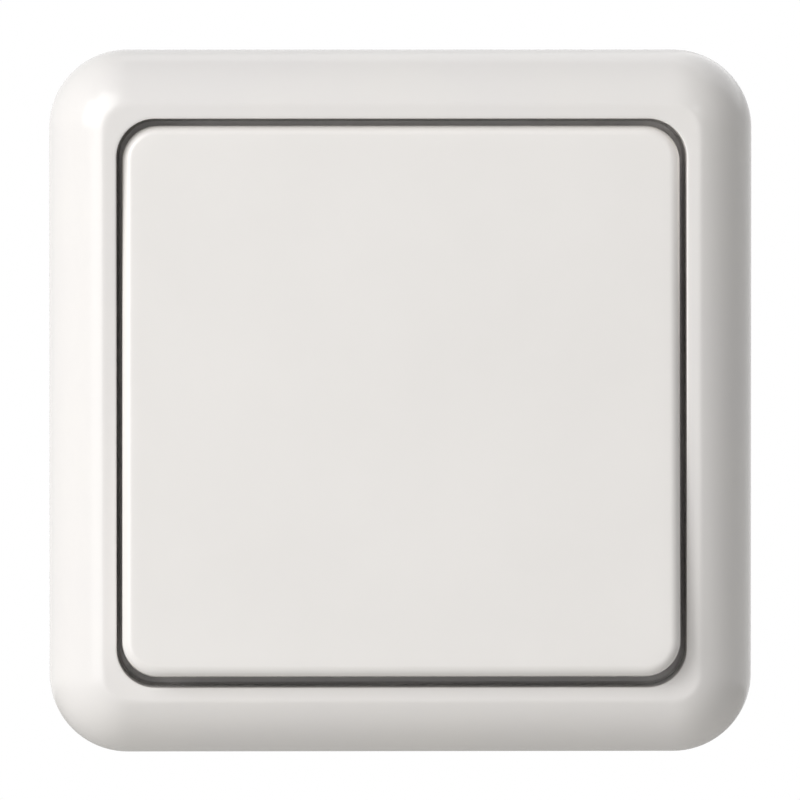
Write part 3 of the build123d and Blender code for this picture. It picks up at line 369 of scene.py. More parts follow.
# %% The rule for the frame's front
def front_tree():
    """Sets the height of points marked `front`: 1 on the outer skin, 2 on the hollow behind it."""
    tree, given = new_tree("Frame front", outline_half=FRAME_HALF * MM, outline_corner=FRAME_CORNER * MM,
                           front_height=FRONT_HEIGHT * MM, front_radius=FRONT_RADIUS * MM,
                           skin=0.0, opening_x=OPENING_X * MM, opening_z=OPENING_Z * MM,
                           opening_corner=OPENING_CORNER * MM, band_height=BAND_HEIGHT * MM,
                           band_rise=math.tan(BAND_SLOPE), crease=CREASE * MM, mark=1.0,
                           finish=white_frame_abs)
    place = add(tree, "GeometryNodeInputPosition")
    split = add(tree, "ShaderNodeSeparateXYZ", {0: place})
    size = [add(tree, "ShaderNodeMath", {0: split.outputs[axis]}, operation="ABSOLUTE") for axis in (0, 2)]

    def outside(half_x, half_z, corner):
        """Distance of a point outside a rounded rectangle, negative inside it."""
        spans = []
        for value, half in zip(size, (half_x, half_z)):
            core = add(tree, "ShaderNodeMath", {0: half, 1: corner}, operation="SUBTRACT")
            past = add(tree, "ShaderNodeMath", {0: value, 1: core}, operation="SUBTRACT")
            spans.append(add(tree, "ShaderNodeMath", {0: past, 1: 0.0}, operation="MAXIMUM"))
        reach = add(tree, "ShaderNodeCombineXYZ", {0: spans[0], 1: spans[1]})
        length = add(tree, "ShaderNodeVectorMath", {0: reach}, operation="LENGTH")
        return add(tree, "ShaderNodeMath", {0: length.outputs["Value"], 1: corner}, operation="SUBTRACT")

    # The quarter round, over the distance in from the outline
    outline = outside(given["outline_half"], given["outline_half"], given["outline_corner"])
    radius = add(tree, "ShaderNodeMath", {0: given["front_radius"], 1: given["skin"]}, operation="SUBTRACT")
    run = add(tree, "ShaderNodeMath", {0: outline, 1: given["front_radius"]}, operation="ADD")
    run = add(tree, "ShaderNodeMath", {0: run, 1: 0.0}, operation="MAXIMUM")
    run = add(tree, "ShaderNodeMath", {0: run, 1: radius}, operation="MINIMUM")
    run_squared = add(tree, "ShaderNodeMath", {0: run, 1: run}, operation="MULTIPLY")
    radius_squared = add(tree, "ShaderNodeMath", {0: radius, 1: radius}, operation="MULTIPLY")
    rest = add(tree, "ShaderNodeMath", {0: radius_squared, 1: run_squared}, operation="SUBTRACT")
    rise = add(tree, "ShaderNodeMath", {0: rest}, operation="SQRT")
    base = add(tree, "ShaderNodeMath", {0: given["front_height"], 1: given["front_radius"]},
               operation="SUBTRACT")
    quarter = add(tree, "ShaderNodeMath", {0: base, 1: rise}, operation="ADD")
    # The band, over the distance out from the opening, and the smooth minimum of both
    away = outside(given["opening_x"], given["opening_z"], given["opening_corner"])
    band = add(tree, "ShaderNodeMath", {0: away, 1: given["band_rise"], 2: given["band_height"]},
               operation="MULTIPLY_ADD")
    height = add(tree, "ShaderNodeMath", {0: quarter, 1: band, 2: given["crease"]}, operation="SMOOTH_MIN")
    depth = add(tree, "ShaderNodeMath", {0: height, 1: -1.0}, operation="MULTIPLY")
    target = add(tree, "ShaderNodeCombineXYZ", {0: split.outputs[0], 1: depth, 2: split.outputs[2]})
    marked = add(tree, "GeometryNodeInputNamedAttribute", {"Name": "front"}, data_type="FLOAT")
    chosen = add(tree, "FunctionNodeCompare", {0: marked, 1: given["mark"], "Epsilon": 0.1},
                 data_type="FLOAT", operation="EQUAL")
    placed = add(tree, "GeometryNodeSetPosition", {"Geometry": given["Geometry"], "Selection": chosen,
                                                   "Position": target})
    close_tree(tree, placed, given)
    return tree


frame_front = front_tree()
print("Frame front nodes:", len(frame_front.nodes))


# %% The frame's rings, from the opening's edge out over the front and back in behind
def frame_rows():
    """Rings as (half x, half z, corner, height, front mark). Marked ones get their height from the tree."""
    rows = []
    unset = 5.0

    def from_opening(out, height, front=0):
        rows.append((OPENING_X + out, OPENING_Z + out, OPENING_CORNER + out, height, front))

    def from_outline(inset, height, corner):
        rows.append((FRAME_HALF - inset, FRAME_HALF - inset, corner, height, 0))

    # The opening's front edge, and the band with close rings where the crease is
    edge_height = BAND_HEIGHT + OPENING_EDGE * math.tan(BAND_SLOPE) - OPENING_EDGE / math.cos(BAND_SLOPE)
    for out, height in arc_points((OPENING_EDGE, edge_height), OPENING_EDGE, 180, 106, 5):
        from_opening(out, height)
    for out in (0.4, 0.7, *np.arange(0.9, 2.95, 0.075), 3.1):
        from_opening(out, BAND_HEIGHT, 1)
    # The quarter round out to the side wall, and round the foot
    last = rows[-1]
    start = math.degrees(math.acos((last[0] - FRAME_HALF + FRONT_RADIUS) / FRONT_RADIUS))
    for turn in np.linspace(start, 0, 22)[1:-1]:
        half = FRAME_HALF - FRONT_RADIUS + FRONT_RADIUS * math.cos(math.radians(turn))
        blend = (half - last[0]) / (FRAME_HALF - last[0])
        corner = last[2] + (FRAME_CORNER - last[2]) * blend
        rows.append((half, half, corner, unset, 1))
    for height in (FRONT_HEIGHT - FRONT_RADIUS, FOOT_TOP):
        from_outline(0, height, FRAME_CORNER)
    for out, height in arc_points((-FOOT_EDGE, FOOT_EDGE), FOOT_EDGE, 0, -90, 4):
        from_outline(-out, height, FRAME_CORNER + out)
    for out, height in arc_points((-WALL + RIM_EDGE, RIM_EDGE), RIM_EDGE, -90, -180, 3):
        from_outline(-out, height, FRAME_CORNER + out)
    # Up the hollow's wall and in over its round to the lip
    for height in (FOOT_TOP, FRONT_HEIGHT - FRONT_RADIUS):
        from_outline(WALL, height, FRAME_CORNER - WALL)
    lip = OPENING_X + LIP_WALL
    inner_radius = FRONT_RADIUS - WALL
    stop = math.degrees(math.acos((lip - FRAME_HALF + FRONT_RADIUS) / inner_radius))
    for turn in np.linspace(0, stop, 12)[1:]:
        half = FRAME_HALF - FRONT_RADIUS + inner_radius * math.cos(math.radians(turn))
        blend = (FRAME_HALF - WALL - half) / (FRAME_HALF - WALL - lip)
        corner = FRAME_CORNER - WALL + (OPENING_CORNER + LIP_WALL - FRAME_CORNER + WALL) * blend
        rows.append((half, half - (OPENING_X - OPENING_Z) * blend, corner, unset, 2))
    # Down the lip and back up inside it, round the ledge to the opening
    for height in (6.0, 3.5, LIP_FOOT + 0.2):
        from_opening(LIP_WALL, height)
    from_opening(LIP_WALL - 0.2, LIP_FOOT)
    narrow = (BAND_HEIGHT - LEDGE_FRONT) * math.tan(DRAFT)
    from_opening(0.15 - narrow, LIP_FOOT)
    for height in (LIP_FOOT + 0.15, LEDGE_BACK):
        from_opening(-narrow, height)
    for out, height in ((0.2 - LEDGE_REACH, LEDGE_BACK), (-LEDGE_REACH, LEDGE_BACK + 0.2),
                        (-LEDGE_REACH, LEDGE_FRONT - 0.3), (0.3 - LEDGE_REACH, LEDGE_FRONT)):
        rows.append((OPENING_X + out, OPENING_Z + out, OPENING_CORNER, height, 0))
    for out, height in ((-narrow - 0.25, LEDGE_FRONT), (-narrow, LEDGE_FRONT + 0.25), (-narrow / 2, 7.25)):
        from_opening(out, height)
    rows.append(rows[0])
    return rows


frame_mesh = rings(frame_rows(), 20, 16, white_frame_abs, then=[
    (frame_front, {"mark": 1.0}),
    (frame_front, {"mark": 2.0, "skin": WALL * MM, "band_height": 1.0}),
])
print("Frame shell faces:", len(frame_mesh.polygons))


# %% [markdown]
# ## What is behind the frame's front
# Seen from the back the moulding is hollow, with thin ribs between the lip and the outer wall, four split
# pegs that snap into the support ring, and notches in the lip for the heads of the box screws. The ribs
# repeat at an even pitch on each side, so a node tree copies one rib along a side and the side round the
# frame. They are joined to the shell as real solids, so that the mesh is one closed body as the moulding is.

# %% One rib, one peg and the cutters
def prism(outline, axis, low, high):
    """A closed prism: an outline in the two other axes, in mm, pulled along axis 0, 1 or 2."""
    form = bmesh.new()
    ends = []
    for level in (low, high):
        points = [[value * MM for value in (*point[:axis], level, *point[axis:])] for point in outline]
        ends.append([form.verts.new(point) for point in points])
    count = len(outline)
    form.faces.new(ends[0])
    form.faces.new(ends[1][::-1])
    for place in range(count):
        after = (place + 1) % count
        form.faces.new((ends[0][after], ends[0][place], ends[1][place], ends[1][after]))
    bmesh.ops.recalc_face_normals(form, faces=form.faces)
    mesh = bpy.data.meshes.new("prism")
    form.to_mesh(mesh)
    form.free()
    return mesh


def span(x, y, z):
    """A closed block between two x, two y and two z values in mm."""
    return prism([(x[0], y[0]), (x[1], y[0]), (x[1], y[1]), (x[0], y[1])], 2, *z)


def joined(meshes):
    """One mesh of several, with the doubles of each left alone."""
    form = bmesh.new()
    for mesh in meshes:
        form.from_mesh(mesh)
    whole = bpy.data.meshes.new("joined")
    form.to_mesh(whole)
    form.free()
    return whole


def carve(mesh, other, operation):
    """The mesh after an exact boolean with another closed mesh."""
    pair = [bpy.data.objects.new("carve", each) for each in (mesh, other)]
    for each in pair:
        bpy.context.scene.collection.objects.link(each)
    modifier = pair[0].modifiers.new("carve", "BOOLEAN")
    modifier.operation, modifier.solver, modifier.object = operation, "EXACT", pair[1]
    modifier.use_self = operation == "UNION"
    depsgraph = bpy.context.evaluated_depsgraph_get()
    result = bpy.data.meshes.new_from_object(pair[0].evaluated_get(depsgraph))
    for each in pair:
        bpy.data.objects.remove(each)
    return result


def side_copies_tree():
    """Copies the host mesh along a side at a pitch, and the side four times round the middle."""
    tree, given = new_tree("Copies along four sides", count=3, pitch=20 * MM, finish=white_frame_abs)
    back = add(tree, "ShaderNodeMath", {0: given["count"], 1: 1.0}, operation="SUBTRACT")
    length = add(tree, "ShaderNodeMath", {0: back, 1: given["pitch"]}, operation="MULTIPLY")
    start = add(tree, "ShaderNodeMath", {0: length, 1: -0.5}, operation="MULTIPLY")
    first = add(tree, "ShaderNodeCombineXYZ", {0: start})
    stride = add(tree, "ShaderNodeCombineXYZ", {0: given["pitch"]})
    line = add(tree, "GeometryNodeMeshLine", {"Count": given["count"], "Start Location": first,
                                              "Offset": stride}, mode="OFFSET")
    row = add(tree, "GeometryNodeInstanceOnPoints", {"Points": line, "Instance": given["Geometry"]})
    sides = add(tree, "GeometryNodeMeshLine", {"Count": 4, "Offset": (0, 0, 0)}, mode="OFFSET")
    index = add(tree, "GeometryNodeInputIndex")
    angle = add(tree, "ShaderNodeMath", {0: index, 1: math.pi / 2}, operation="MULTIPLY")
    turn = add(tree, "ShaderNodeCombineXYZ", {1: angle})
    copies = add(tree, "GeometryNodeInstanceOnPoints", {"Points": sides, "Instance": row, "Rotation": turn})
    close_tree(tree, copies, given)
    return tree


side_copies = side_copies_tree()
print("Copy tree nodes:", len(side_copies.nodes))


# %% The ribs
# A rib reaches a little into the round in front of it and into the lip beside it, so that they join.
RIB, RIB_FOOT, RIB_PITCH, RIB_COUNT, INTO_ROUND, INTO_LIP = 1.0, 2.0, 20.0, 3, 0.4, 0.6
inner_round = arc_points((FRAME_HALF - FRONT_RADIUS, FRONT_HEIGHT - FRONT_RADIUS),
                         FRONT_RADIUS - WALL + INTO_ROUND, 0, 72, 10)
rib_outline = [(-RIB_FOOT, OPENING_X + INTO_LIP), (-RIB_FOOT, inner_round[0][0]),
               *[(-height, out) for out, height in inner_round],
               (-inner_round[-1][1], OPENING_X + INTO_LIP)]
rib = prism(rib_outline, 0, -RIB / 2, RIB / 2)
ribs = grow_from(rib, [(side_copies, {"count": RIB_COUNT, "pitch": RIB_PITCH * MM})])
point_outwards(ribs)
print("Rib faces:", len(ribs.polygons))

# %% The pegs
# A peg has a wide foot behind the ledge, a shank, a barb and a tapered tip, and it is split to spring.
PEG_PLACE, PEG_RADIUS, PEG_FOOT, PEG_TIP, PEG_END, PEG_SLIT = 30.0, 1.35, 2.2, 0.95, -1.7, 0.35
peg_rows = [(radius, radius, radius, height, 0) for radius, height in (
    (0, LEDGE_BACK + 0.3), (PEG_FOOT + 0.1, LEDGE_BACK + 0.3), (PEG_FOOT, LEDGE_BACK - 0.4),
    (PEG_FOOT, 1.3), (PEG_FOOT - 0.1, 1.2), (PEG_RADIUS, 1.2), (PEG_RADIUS, -0.25),
    (PEG_RADIUS + 0.25, -0.3), (PEG_RADIUS + 0.22, -0.5), (PEG_TIP + 0.1, -1.6), (PEG_TIP, PEG_END),
    (0, PEG_END))]
peg = rings(peg_rows, 8, 1, white_frame_abs)
peg = carve(peg, span((-PEG_SLIT, PEG_SLIT), (-1.2, 2.5), (-3, 3)), "DIFFERENCE")
pegs = []
for x in (-PEG_PLACE, PEG_PLACE):
    for z in (-PEG_PLACE, PEG_PLACE):
        copy = peg.copy()
        copy.transform(Matrix.Translation((x * MM, 0, z * MM)))
        pegs.append(copy)
print("Pegs:", len(pegs), "with faces:", len(peg.polygons))

# %% The frame with its ribs, pegs and notches
NOTCH_HALF, NOTCH_REACH = 5.5, 34.3
notch, across = (-NOTCH_HALF, NOTCH_HALF), (-NOTCH_REACH, NOTCH_REACH)
frame_mesh = carve(frame_mesh, joined([ribs, *pegs]), "UNION")
for x, z in ((notch, across), (across, notch)):
    frame_mesh = carve(frame_mesh, span(x, (-LEDGE_BACK, 1), z), "DIFFERENCE")
cover_frame = show(frame_mesh, "cover_frame_moulding")
print("Cover frame faces:", len(frame_mesh.polygons))


# %% [markdown]
# ## The rocker
# The rocker is a flat cap with slightly drafted sides and a rounded front edge. Its rings run from the
# middle of the face out to the edge, down the skirt and back in over the hollow rear, so the shell closes
# at both poles. It is drawn level, as the CAD part is, and then turned about its pivot into the position
# that it rests in, with its top pressed in.

# %% Sizes of the rocker in mm
ROCKER_X, ROCKER_Z, ROCKER_CORNER, ROCKER_FACE, ROCKER_SKIRT = 31.6, 31.2, 4.0, 11.3, 6.9
ROCKER_EDGE, FACE_WALL, SIDE_WALL, ROCKER_SHIFT = 1.2, 1.8, 1.4, -0.05
REAR = ROCKER_FACE - FACE_WALL
PIVOT_HEIGHT, TILT = 5.5, 3.5


def rocker_rows():
    """Rings of the rocker's shell, drawn level."""
    rows = []

    def from_side(out, height):
        rows.append((ROCKER_X + out, ROCKER_Z + out, max(ROCKER_CORNER + out, 0), height, 0))

    for share in (0, 0.35, 0.7, 0.93):
        rows.append((ROCKER_X * share, ROCKER_Z * share, ROCKER_CORNER * share, ROCKER_FACE, 0))
    edge_height = ROCKER_FACE - ROCKER_EDGE
    edge_out = ROCKER_EDGE * math.tan(DRAFT) - ROCKER_EDGE / math.cos(DRAFT)
    for out, height in arc_points((edge_out, edge_height), ROCKER_EDGE, 90, 0, 10):
        from_side(out, height)
    for height in (9.0, ROCKER_SKIRT + 0.25):
        from_side((ROCKER_FACE - height) * math.tan(DRAFT), height)
    from_side((ROCKER_FACE - ROCKER_SKIRT) * math.tan(DRAFT) - 0.25, ROCKER_SKIRT)
    from_side(0.15 - SIDE_WALL, ROCKER_SKIRT)
    for out, height in ((0, ROCKER_SKIRT + 0.15), (0, REAR - 0.4), (-0.12, REAR - 0.12), (-0.4, REAR)):
        from_side(out - SIDE_WALL, height)
    for share in (0.6, 0):
        rows.append((ROCKER_X * share, ROCKER_Z * share, ROCKER_CORNER * share, REAR, 0))
    return rows


# %% The rocker's shell
rocker_mesh = rings(rocker_rows(), 14, 12, white_rocker_abs)
rocker_mesh.transform(Matrix.Translation((ROCKER_SHIFT * MM, 0, 0)))
print("Rocker shell faces:", len(rocker_mesh.polygons))

# %% The lattice of ribs behind its face
# Guides and hooks clasp the carrier under the cap. All of them are sunk a little into the cap to join it.
CARRIER_X, CARRIER_Z, CARRIER_GAP, CARRIER_WALL = 11.9, 13.0, 0.1, 1.8
SUNK, HALF_RIB, TOOTH_REACH, TOOTH_DEPTH, HALF_HOOK = 0.3, 0.45, 0.8, 1.1, 2
guide_in, guide_out = CARRIER_X + CARRIER_GAP, CARRIER_X + CARRIER_GAP + 0.9
hook_in, hook_out = CARRIER_Z + CARRIER_GAP, CARRIER_Z + CARRIER_GAP + 1.2
tooth_front = CARRIER_GAP - (REAR - CARRIER_GAP - CARRIER_WALL)
rib_y = (-REAR - SUNK, 1.1 - REAR)
lattice = []
for place in (-18, -6, 6, 18):
    width = (place - HALF_RIB, place + HALF_RIB)
    lattice.append(span(width, rib_y, (-30.5, 30.5)))
    lattice.append(span((-30.6, 31.0), rib_y, width))
lattice = carve(carve(lattice[0], joined(lattice[1:]), "UNION"),
                span((-guide_out, guide_out), (-12, 0), (-hook_out, hook_out)), "DIFFERENCE")
print("Lattice faces:", len(lattice.polygons))

# %% The guides and hooks
fittings = []
for side in (-1, 1):
    guide_x = sorted((side * guide_in, side * guide_out))
    fittings.append(span(guide_x, (-REAR - SUNK, 1.3 - REAR), (-8, 8)))
    for place in (-7, 7):
        tooth = side * (CARRIER_Z - TOOTH_REACH)
        hook = [(side * hook_in, -REAR - SUNK), (side * hook_out, -REAR - SUNK),
                (side * hook_out, tooth_front + 0.8), (side * (hook_out - 0.3), tooth_front + TOOTH_DEPTH),
                (side * (hook_in - 0.5), tooth_front + TOOTH_DEPTH), (tooth, tooth_front + 0.5),
                (tooth, tooth_front), (side * hook_in, tooth_front)]
        fittings.append(prism([(y, z) for z, y in hook], 0, place - HALF_HOOK, place + HALF_HOOK))
rocker_mesh = carve(rocker_mesh, joined([lattice, *fittings]), "UNION")

# %% The rocker turned about its pivot to rest
pivot = Vector((0, -PIVOT_HEIGHT * MM, 0))
turn = Matrix.Rotation(math.radians(-TILT), 4, "X")
tilted = Matrix.Translation(pivot) @ turn @ Matrix.Translation(-pivot)
rocker_mesh.transform(tilted)
rocker_cap = show(rocker_mesh, "rocker_moulding")
print("Rocker faces:", len(rocker_mesh.polygons))


# %% [markdown]
# ## Screws with real threads
# The claw screws are M3 machine screws. A thread is a rule: the radius at a point depends only on how far
# it is along the screw and how far round. So a tree takes a grid, wraps it into a tube and lets the radius
# follow a triangle wave that climbs one pitch in each turn, fading at both ends. Both screws are
# right-handed, so the second is a copy moved across, not a mirror image.

# %% The thread tree
def thread_tree():
    """A closed threaded rod along Y between `start` and `end`, in metres."""
    tree, given = new_tree("Screw thread", start=-1 * MM, end=16 * MM, radius=1.5 * MM, cut=0.3 * MM,
                           pitch=0.5 * MM, round_steps=20, rows_per_turn=6.0, finish=passivated_screw)
    length = add(tree, "ShaderNodeMath", {0: given["end"], 1: given["start"]}, operation="SUBTRACT")
    count = add(tree, "ShaderNodeMath", {0: length, 1: given["pitch"]}, operation="DIVIDE")
    rows = add(tree, "ShaderNodeMath", {0: count, 1: given["rows_per_turn"], 2: 1.0},
               operation="MULTIPLY_ADD")
    columns = add(tree, "ShaderNodeMath", {0: given["round_steps"], 1: 1.0}, operation="ADD")
    grid = add(tree, "GeometryNodeMeshGrid", {"Size X": 1.0, "Size Y": 1.0, "Vertices X": columns,
                                              "Vertices Y": rows})
    place = add(tree, "ShaderNodeSeparateXYZ", {0: add(tree, "GeometryNodeInputPosition")})
    around = add(tree, "ShaderNodeMath", {0: place.outputs[0], 1: 0.5}, operation="ADD")
    along = add(tree, "ShaderNodeMath", {0: place.outputs[1], 1: 0.5}, operation="ADD")
    # A triangle wave over the turns, which fades over the first and the last 3% of the length
    turns = add(tree, "ShaderNodeMath", {0: along, 1: count, 2: around}, operation="MULTIPLY_ADD")
    wave = add(tree, "ShaderNodeMath", {0: turns, 1: 0.5}, operation="PINGPONG")
    depth = add(tree, "ShaderNodeMath", {0: wave, 1: 2.0}, operation="MULTIPLY")
    lead_in = add(tree, "ShaderNodeMapRange", {"Value": along, "From Min": 0.0, "From Max": 0.03})
    lead_out = add(tree, "ShaderNodeMapRange", {"Value": along, "From Min": 1.0, "From Max": 0.97})
    fade = add(tree, "ShaderNodeMath", {0: lead_in, 1: lead_out}, operation="MULTIPLY")
    crest = add(tree, "ShaderNodeMath", {0: depth, 1: fade}, operation="MULTIPLY")
    root = add(tree, "ShaderNodeMath", {0: given["radius"], 1: given["cut"]}, operation="SUBTRACT")
    radius = add(tree, "ShaderNodeMath", {0: crest, 1: given["cut"], 2: root}, operation="MULTIPLY_ADD")
    angle = add(tree, "ShaderNodeMath", {0: around, 1: 2 * math.pi}, operation="MULTIPLY")
    ray = add(tree, "ShaderNodeVectorRotate", {"Vector": (1, 0, 0), "Angle": angle}, rotation_type="Y_AXIS")
    spoke = add(tree, "ShaderNodeVectorMath", {0: ray, "Scale": radius}, operation="SCALE")
    depth_y = add(tree, "ShaderNodeMath", {0: along, 1: length, 2: given["start"]}, operation="MULTIPLY_ADD")
    axis = add(tree, "ShaderNodeCombineXYZ", {1: depth_y})
    point = add(tree, "ShaderNodeVectorMath", {0: spoke, 1: axis}, operation="ADD")
    placed = add(tree, "GeometryNodeSetPosition", {"Geometry": grid, "Position": point})
    closed = add(tree, "GeometryNodeMergeByDistance", {"Geometry": placed, "Distance": 1e-6})
    close_tree(tree, closed, given)
    return tree


def close_ends(mesh):
    """Fills the open rims of a tube."""
    form = bmesh.new()
    form.from_mesh(mesh)
    bmesh.ops.holes_fill(form, edges=[edge for edge in form.edges if edge.is_boundary], sides=0)
    bmesh.ops.recalc_face_normals(form, faces=form.faces)
    form.to_mesh(mesh)
    form.free()


# %% The two claw screws
SCREW_PLACE, SCREW_RADIUS, SCREW_END, HEAD_RADIUS, HEAD, RING_WALL = 25.0, 1.5, 16.0, 3.1, 2.0, 1.0
SLOT_DEPTH, HALF_SLOT = 1.1, 0.4
thread = grow([(thread_tree(), {"radius": SCREW_RADIUS * MM, "end": SCREW_END * MM})], [(0, 0, 0)])
close_ends(thread)
head_top = RING_WALL + HEAD
# A pan head, from the middle of its crown out and down to its flat underside
head_rows = [(radius, radius, radius, height, 0) for radius, height in (
    (0, head_top), (1.6, head_top), (2.5, head_top - 0.06), (2.85, head_top - 0.22), (3.05, head_top - 0.5),
    (HEAD_RADIUS, head_top - 0.8), (HEAD_RADIUS, RING_WALL + 0.12), (HEAD_RADIUS - 0.12, RING_WALL),
    (1.4, RING_WALL), (0, RING_WALL))]
head = rings(head_rows, 10, 1, passivated_screw)
slot = span((-4, 4), (-head_top - 1, SLOT_DEPTH - head_top), (-HALF_SLOT, HALF_SLOT))
head = carve(head, slot, "DIFFERENCE")
screw_mesh = joined([thread, head])
for mesh_side, name in ((-1, "left"), (1, "right")):
    copy = screw_mesh.copy()
    copy.materials.clear()
    copy.materials.append(passivated_screw)
    copy.transform(Matrix.Translation((mesh_side * SCREW_PLACE * MM, 0, 0)))
    screw = show(copy, f"claw_screw_{name}_threaded")
    node = f"claw_screw_{name}"
    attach(screw, node)
    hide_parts(node)
print("Screw faces:", len(screw_mesh.polygons))


# %% [markdown]
# ## Coil springs
# A wound compression spring has closed end coils: the wire lies flat on itself at both ends and only
# opens up in between. The tree winds a line round an axis, lets its climb ease in and out, and sweeps a
# round wire along it.

# %% The spring tree
def spring_tree():
    """A spring along Y between `start` and `end`, in metres, with closed end coils."""
    tree, given = new_tree("Coil spring", start=0.0, end=5 * MM, coil=2.15 * MM, wire=0.25 * MM, turns=6.0,
                           closed=1.2, steps=160, finish=bright_spring)
    line = add(tree, "GeometryNodeCurvePrimitiveLine", {"Start": (0, 0, 0), "End": (0, 1, 0)}, mode="POINTS")
    path = add(tree, "GeometryNodeResampleCurve", {"Curve": line, "Count": given["steps"]})
    factor = add(tree, "GeometryNodeSplineParameter").outputs["Factor"]
    wound = add(tree, "ShaderNodeMath", {0: factor, 1: given["turns"]}, operation="MULTIPLY")
    angle = add(tree, "ShaderNodeMath", {0: wound, 1: 2 * math.pi}, operation="MULTIPLY")
    ray = add(tree, "ShaderNodeVectorRotate", {"Vector": (1, 0, 0), "Angle": angle}, rotation_type="Y_AXIS")
    spoke = add(tree, "ShaderNodeVectorMath", {0: ray, "Scale": given["coil"]}, operation="SCALE")
    # Closed coils climb by the wire's thickness in a turn, and the open ones share what is left.
    last = add(tree, "ShaderNodeMath", {0: given["turns"], 1: given["closed"]}, operation="SUBTRACT")
    open_share = add(tree, "ShaderNodeMapRange", {"Value": wound, "From Min": given["closed"],
                                                  "From Max": last})
    thick = add(tree, "ShaderNodeMath", {0: given["wire"], 1: 2.0}, operation="MULTIPLY")
    ends = add(tree, "ShaderNodeMath", {0: given["closed"], 1: thick}, operation="MULTIPLY")
    low_turns = add(tree, "ShaderNodeMath", {0: wound, 1: given["closed"]}, operation="MINIMUM")
    past = add(tree, "ShaderNodeMath", {0: wound, 1: last}, operation="SUBTRACT")
    high_turns = add(tree, "ShaderNodeMath", {0: past, 1: 0.0}, operation="MAXIMUM")
    flat_turns = add(tree, "ShaderNodeMath", {0: low_turns, 1: high_turns}, operation="ADD")
    flat = add(tree, "ShaderNodeMath", {0: flat_turns, 1: thick}, operation="MULTIPLY")
    whole = add(tree, "ShaderNodeMath", {0: given["end"], 1: given["start"]}, operation="SUBTRACT")
    clear = add(tree, "ShaderNodeMath", {0: whole, 1: thick}, operation="SUBTRACT")
    twice = add(tree, "ShaderNodeMath", {0: ends, 1: 2.0}, operation="MULTIPLY")
    climb = add(tree, "ShaderNodeMath", {0: clear, 1: twice}, operation="SUBTRACT")
    risen = add(tree, "ShaderNodeMath", {0: open_share, 1: climb, 2: flat}, operation="MULTIPLY_ADD")
    first = add(tree, "ShaderNodeMath", {0: given["start"], 1: given["wire"]}, operation="ADD")
    depth = add(tree, "ShaderNodeMath", {0: risen, 1: first}, operation="ADD")
    axis = add(tree, "ShaderNodeCombineXYZ", {1: depth})
    point = add(tree, "ShaderNodeVectorMath", {0: spoke, 1: axis}, operation="ADD")
    placed = add(tree, "GeometryNodeSetPosition", {"Geometry": path, "Position": point})
    wire = add(tree, "GeometryNodeCurvePrimitiveCircle", {"Resolution": 10, "Radius": given["wire"]})
    tube = add(tree, "GeometryNodeCurveToMesh", {"Curve": placed, "Profile Curve": wire, "Fill Caps": True})
    close_tree(tree, tube, given)
    return tree


coil_spring = spring_tree()
print("Spring tree nodes:", len(coil_spring.nodes))


# %% The plunger spring and the two claw springs
SPRING_GAP = 0.03
claw_spring = dict(start=SPRING_GAP, end=5.4 - SPRING_GAP, coil=2.15, wire=0.25, turns=4.0, closed=0.9)
springs = {
    "plunger_spring": dict(start=-6.5 + SPRING_GAP, end=-1.0 - SPRING_GAP, coil=1.5, wire=0.22, turns=6.0,
                           closed=1.0, x=0),
    "claw_spring_left": claw_spring | {"x": -SCREW_PLACE},
    "claw_spring_right": claw_spring | {"x": SCREW_PLACE},
}
for node, size in springs.items():
    sizes = {name: size[name] * MM for name in ("start", "end", "coil", "wire")}
    sizes |= {name: size[name] for name in ("turns", "closed")}
    mesh = grow([(coil_spring, sizes)], [(0, 0, 0)])
    mesh.transform(Matrix.Translation((size["x"] * MM, 0, 0)))
    if node == "plunger_spring":
        mesh.transform(tilted)
    point_outwards(mesh)
    wound = show(mesh, f"{node}_wound")
    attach(wound, frame["nodes"][node]["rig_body"])
    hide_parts(node)
    print(node, "faces:", len(mesh.polygons))

# %% Put the two mouldings on their bodies
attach(cover_frame, "insert")
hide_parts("cover_frame")
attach(rocker_cap, "rocker")
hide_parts("rocker")
print("Mouldings on their bodies:", cover_frame.name, rocker_cap.name)


# %% [markdown]
# ## Stage, light and camera
# The photograph shows the switch square from the front on white, lit from the left and a little from
# above: the left edge is bright, the top edge a little less, and the right and bottom edges fall off to
# grey. Three soft lamps on that side give it. None of them stands straight in front, so the gap round the
# rocker stays dark. A small lamp on the right draws the thin bright lines on the creases there, and one
# behind lights the back. The background is the world itself, white to the camera and to reflections, and
# dim to everything else, so that it doesn't wash the object out.

# %% World and floor
bpy.context.scene.view_settings.view_transform = "Standard"
world = bpy.data.worlds.new("studio")
bpy.context.scene.world = world
world.use_nodes = True
FILL_STRENGTH = 0.22
sky = world.node_tree
sky.nodes.clear()
ray = add(sky, "ShaderNodeLightPath")
seen = add(sky, "ShaderNodeMath", {0: ray.outputs["Is Camera Ray"], 1: ray.outputs["Is Glossy Ray"]},
           operation="MAXIMUM")
seen = add(sky, "ShaderNodeMath", {0: seen, 1: ray.outputs["Is Transmission Ray"]}, operation="MAXIMUM")
fill = add(sky, "ShaderNodeBackground", {"Color": colour("#FFFFFF"), "Strength": FILL_STRENGTH})
white = add(sky, "ShaderNodeBackground", {"Color": colour("#FFFFFF"), "Strength": 1.0})
both = add(sky, "ShaderNodeMixShader", {0: seen, 1: fill, 2: white})
add(sky, "ShaderNodeOutputWorld", {"Surface": both})

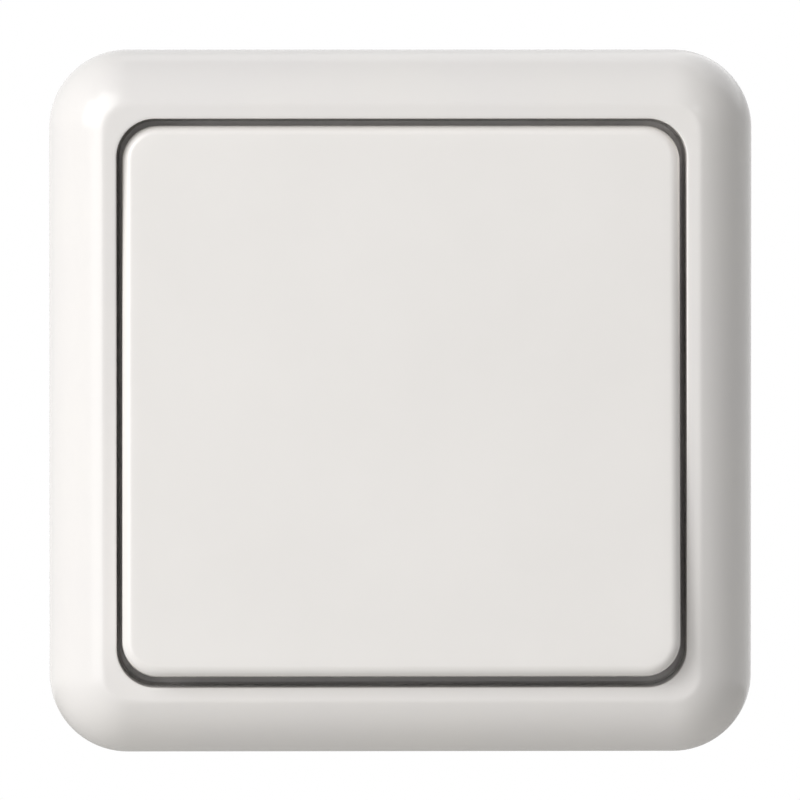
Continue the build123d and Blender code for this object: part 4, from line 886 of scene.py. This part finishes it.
FLOOR_RADIUS, FLOOR_LEVEL = 0.5, -0.12
floor_paint = bpy.data.materials.new("pale studio floor")
floor_paint.use_nodes = True
floor_surface = floor_paint.node_tree.nodes["Principled BSDF"].inputs
floor_surface["Base Color"].default_value = colour("#DCDBD8")
floor_surface["Roughness"].default_value = 0.9
disc = bmesh.new()
bmesh.ops.create_circle(disc, cap_ends=True, segments=96, radius=FLOOR_RADIUS)
floor_mesh = bpy.data.meshes.new("floor")
disc.to_mesh(floor_mesh)
disc.free()
floor_mesh.transform(Matrix.Translation((0, 0, FLOOR_LEVEL)))
floor_mesh.materials.append(floor_paint)
floor = bpy.data.objects.new("floor", floor_mesh)
bpy.context.scene.collection.objects.link(floor)
print("World and floor:", world.name, floor.name)


# %% Lamps
LAMP_DISTANCE = 1.4


def soft_light(name, direction, size, power):
    """A square area light that looks at the switch from a direction. size is in metres, power in watts."""
    lamp = bpy.data.lights.new(name, "AREA")
    lamp.size, lamp.energy = size, power
    holder = bpy.data.objects.new(name, lamp)
    aim = Vector(direction).normalized()
    holder.location = aim * LAMP_DISTANCE
    holder.rotation_euler = aim.to_track_quat("Z", "Y").to_euler()
    bpy.context.scene.collection.objects.link(holder)


soft_light("key from the left", (-0.74, -0.57, 0.35), 0.7, 8.8)
soft_light("high left", (-0.49, -0.64, 0.59), 0.7, 5.2)
soft_light("level left", (-0.64, -0.77, 0.0), 0.7, 3.1)
soft_light("spark on the right edges", (0.5, -0.75, 0.45), 0.16, 0.45)
soft_light("back fill", (0.45, 0.6, 0.66), 1.4, 4.5)

# %% Camera, square to the front from a little left and above
camera_data = bpy.data.cameras.new("camera")
camera = bpy.data.objects.new("camera", camera_data)
bpy.context.scene.collection.objects.link(camera)
bpy.context.scene.camera = camera
left, up, reach = math.radians(1.1), math.radians(2.1), 1.6
FIELD_WIDTH, SENSOR_WIDTH = 0.0913, 36
direction = Vector((-math.sin(left) * math.cos(up), -math.cos(left) * math.cos(up), math.sin(up)))
camera.location = direction * reach
camera.rotation_euler = direction.to_track_quat("Z", "Y").to_euler()
camera_data.sensor_width = SENSOR_WIDTH
camera_data.lens = reach * SENSOR_WIDTH / FIELD_WIDTH
camera_data.clip_start, camera_data.clip_end = 0.05, 10
print("Lens in mm:", round(camera_data.lens))
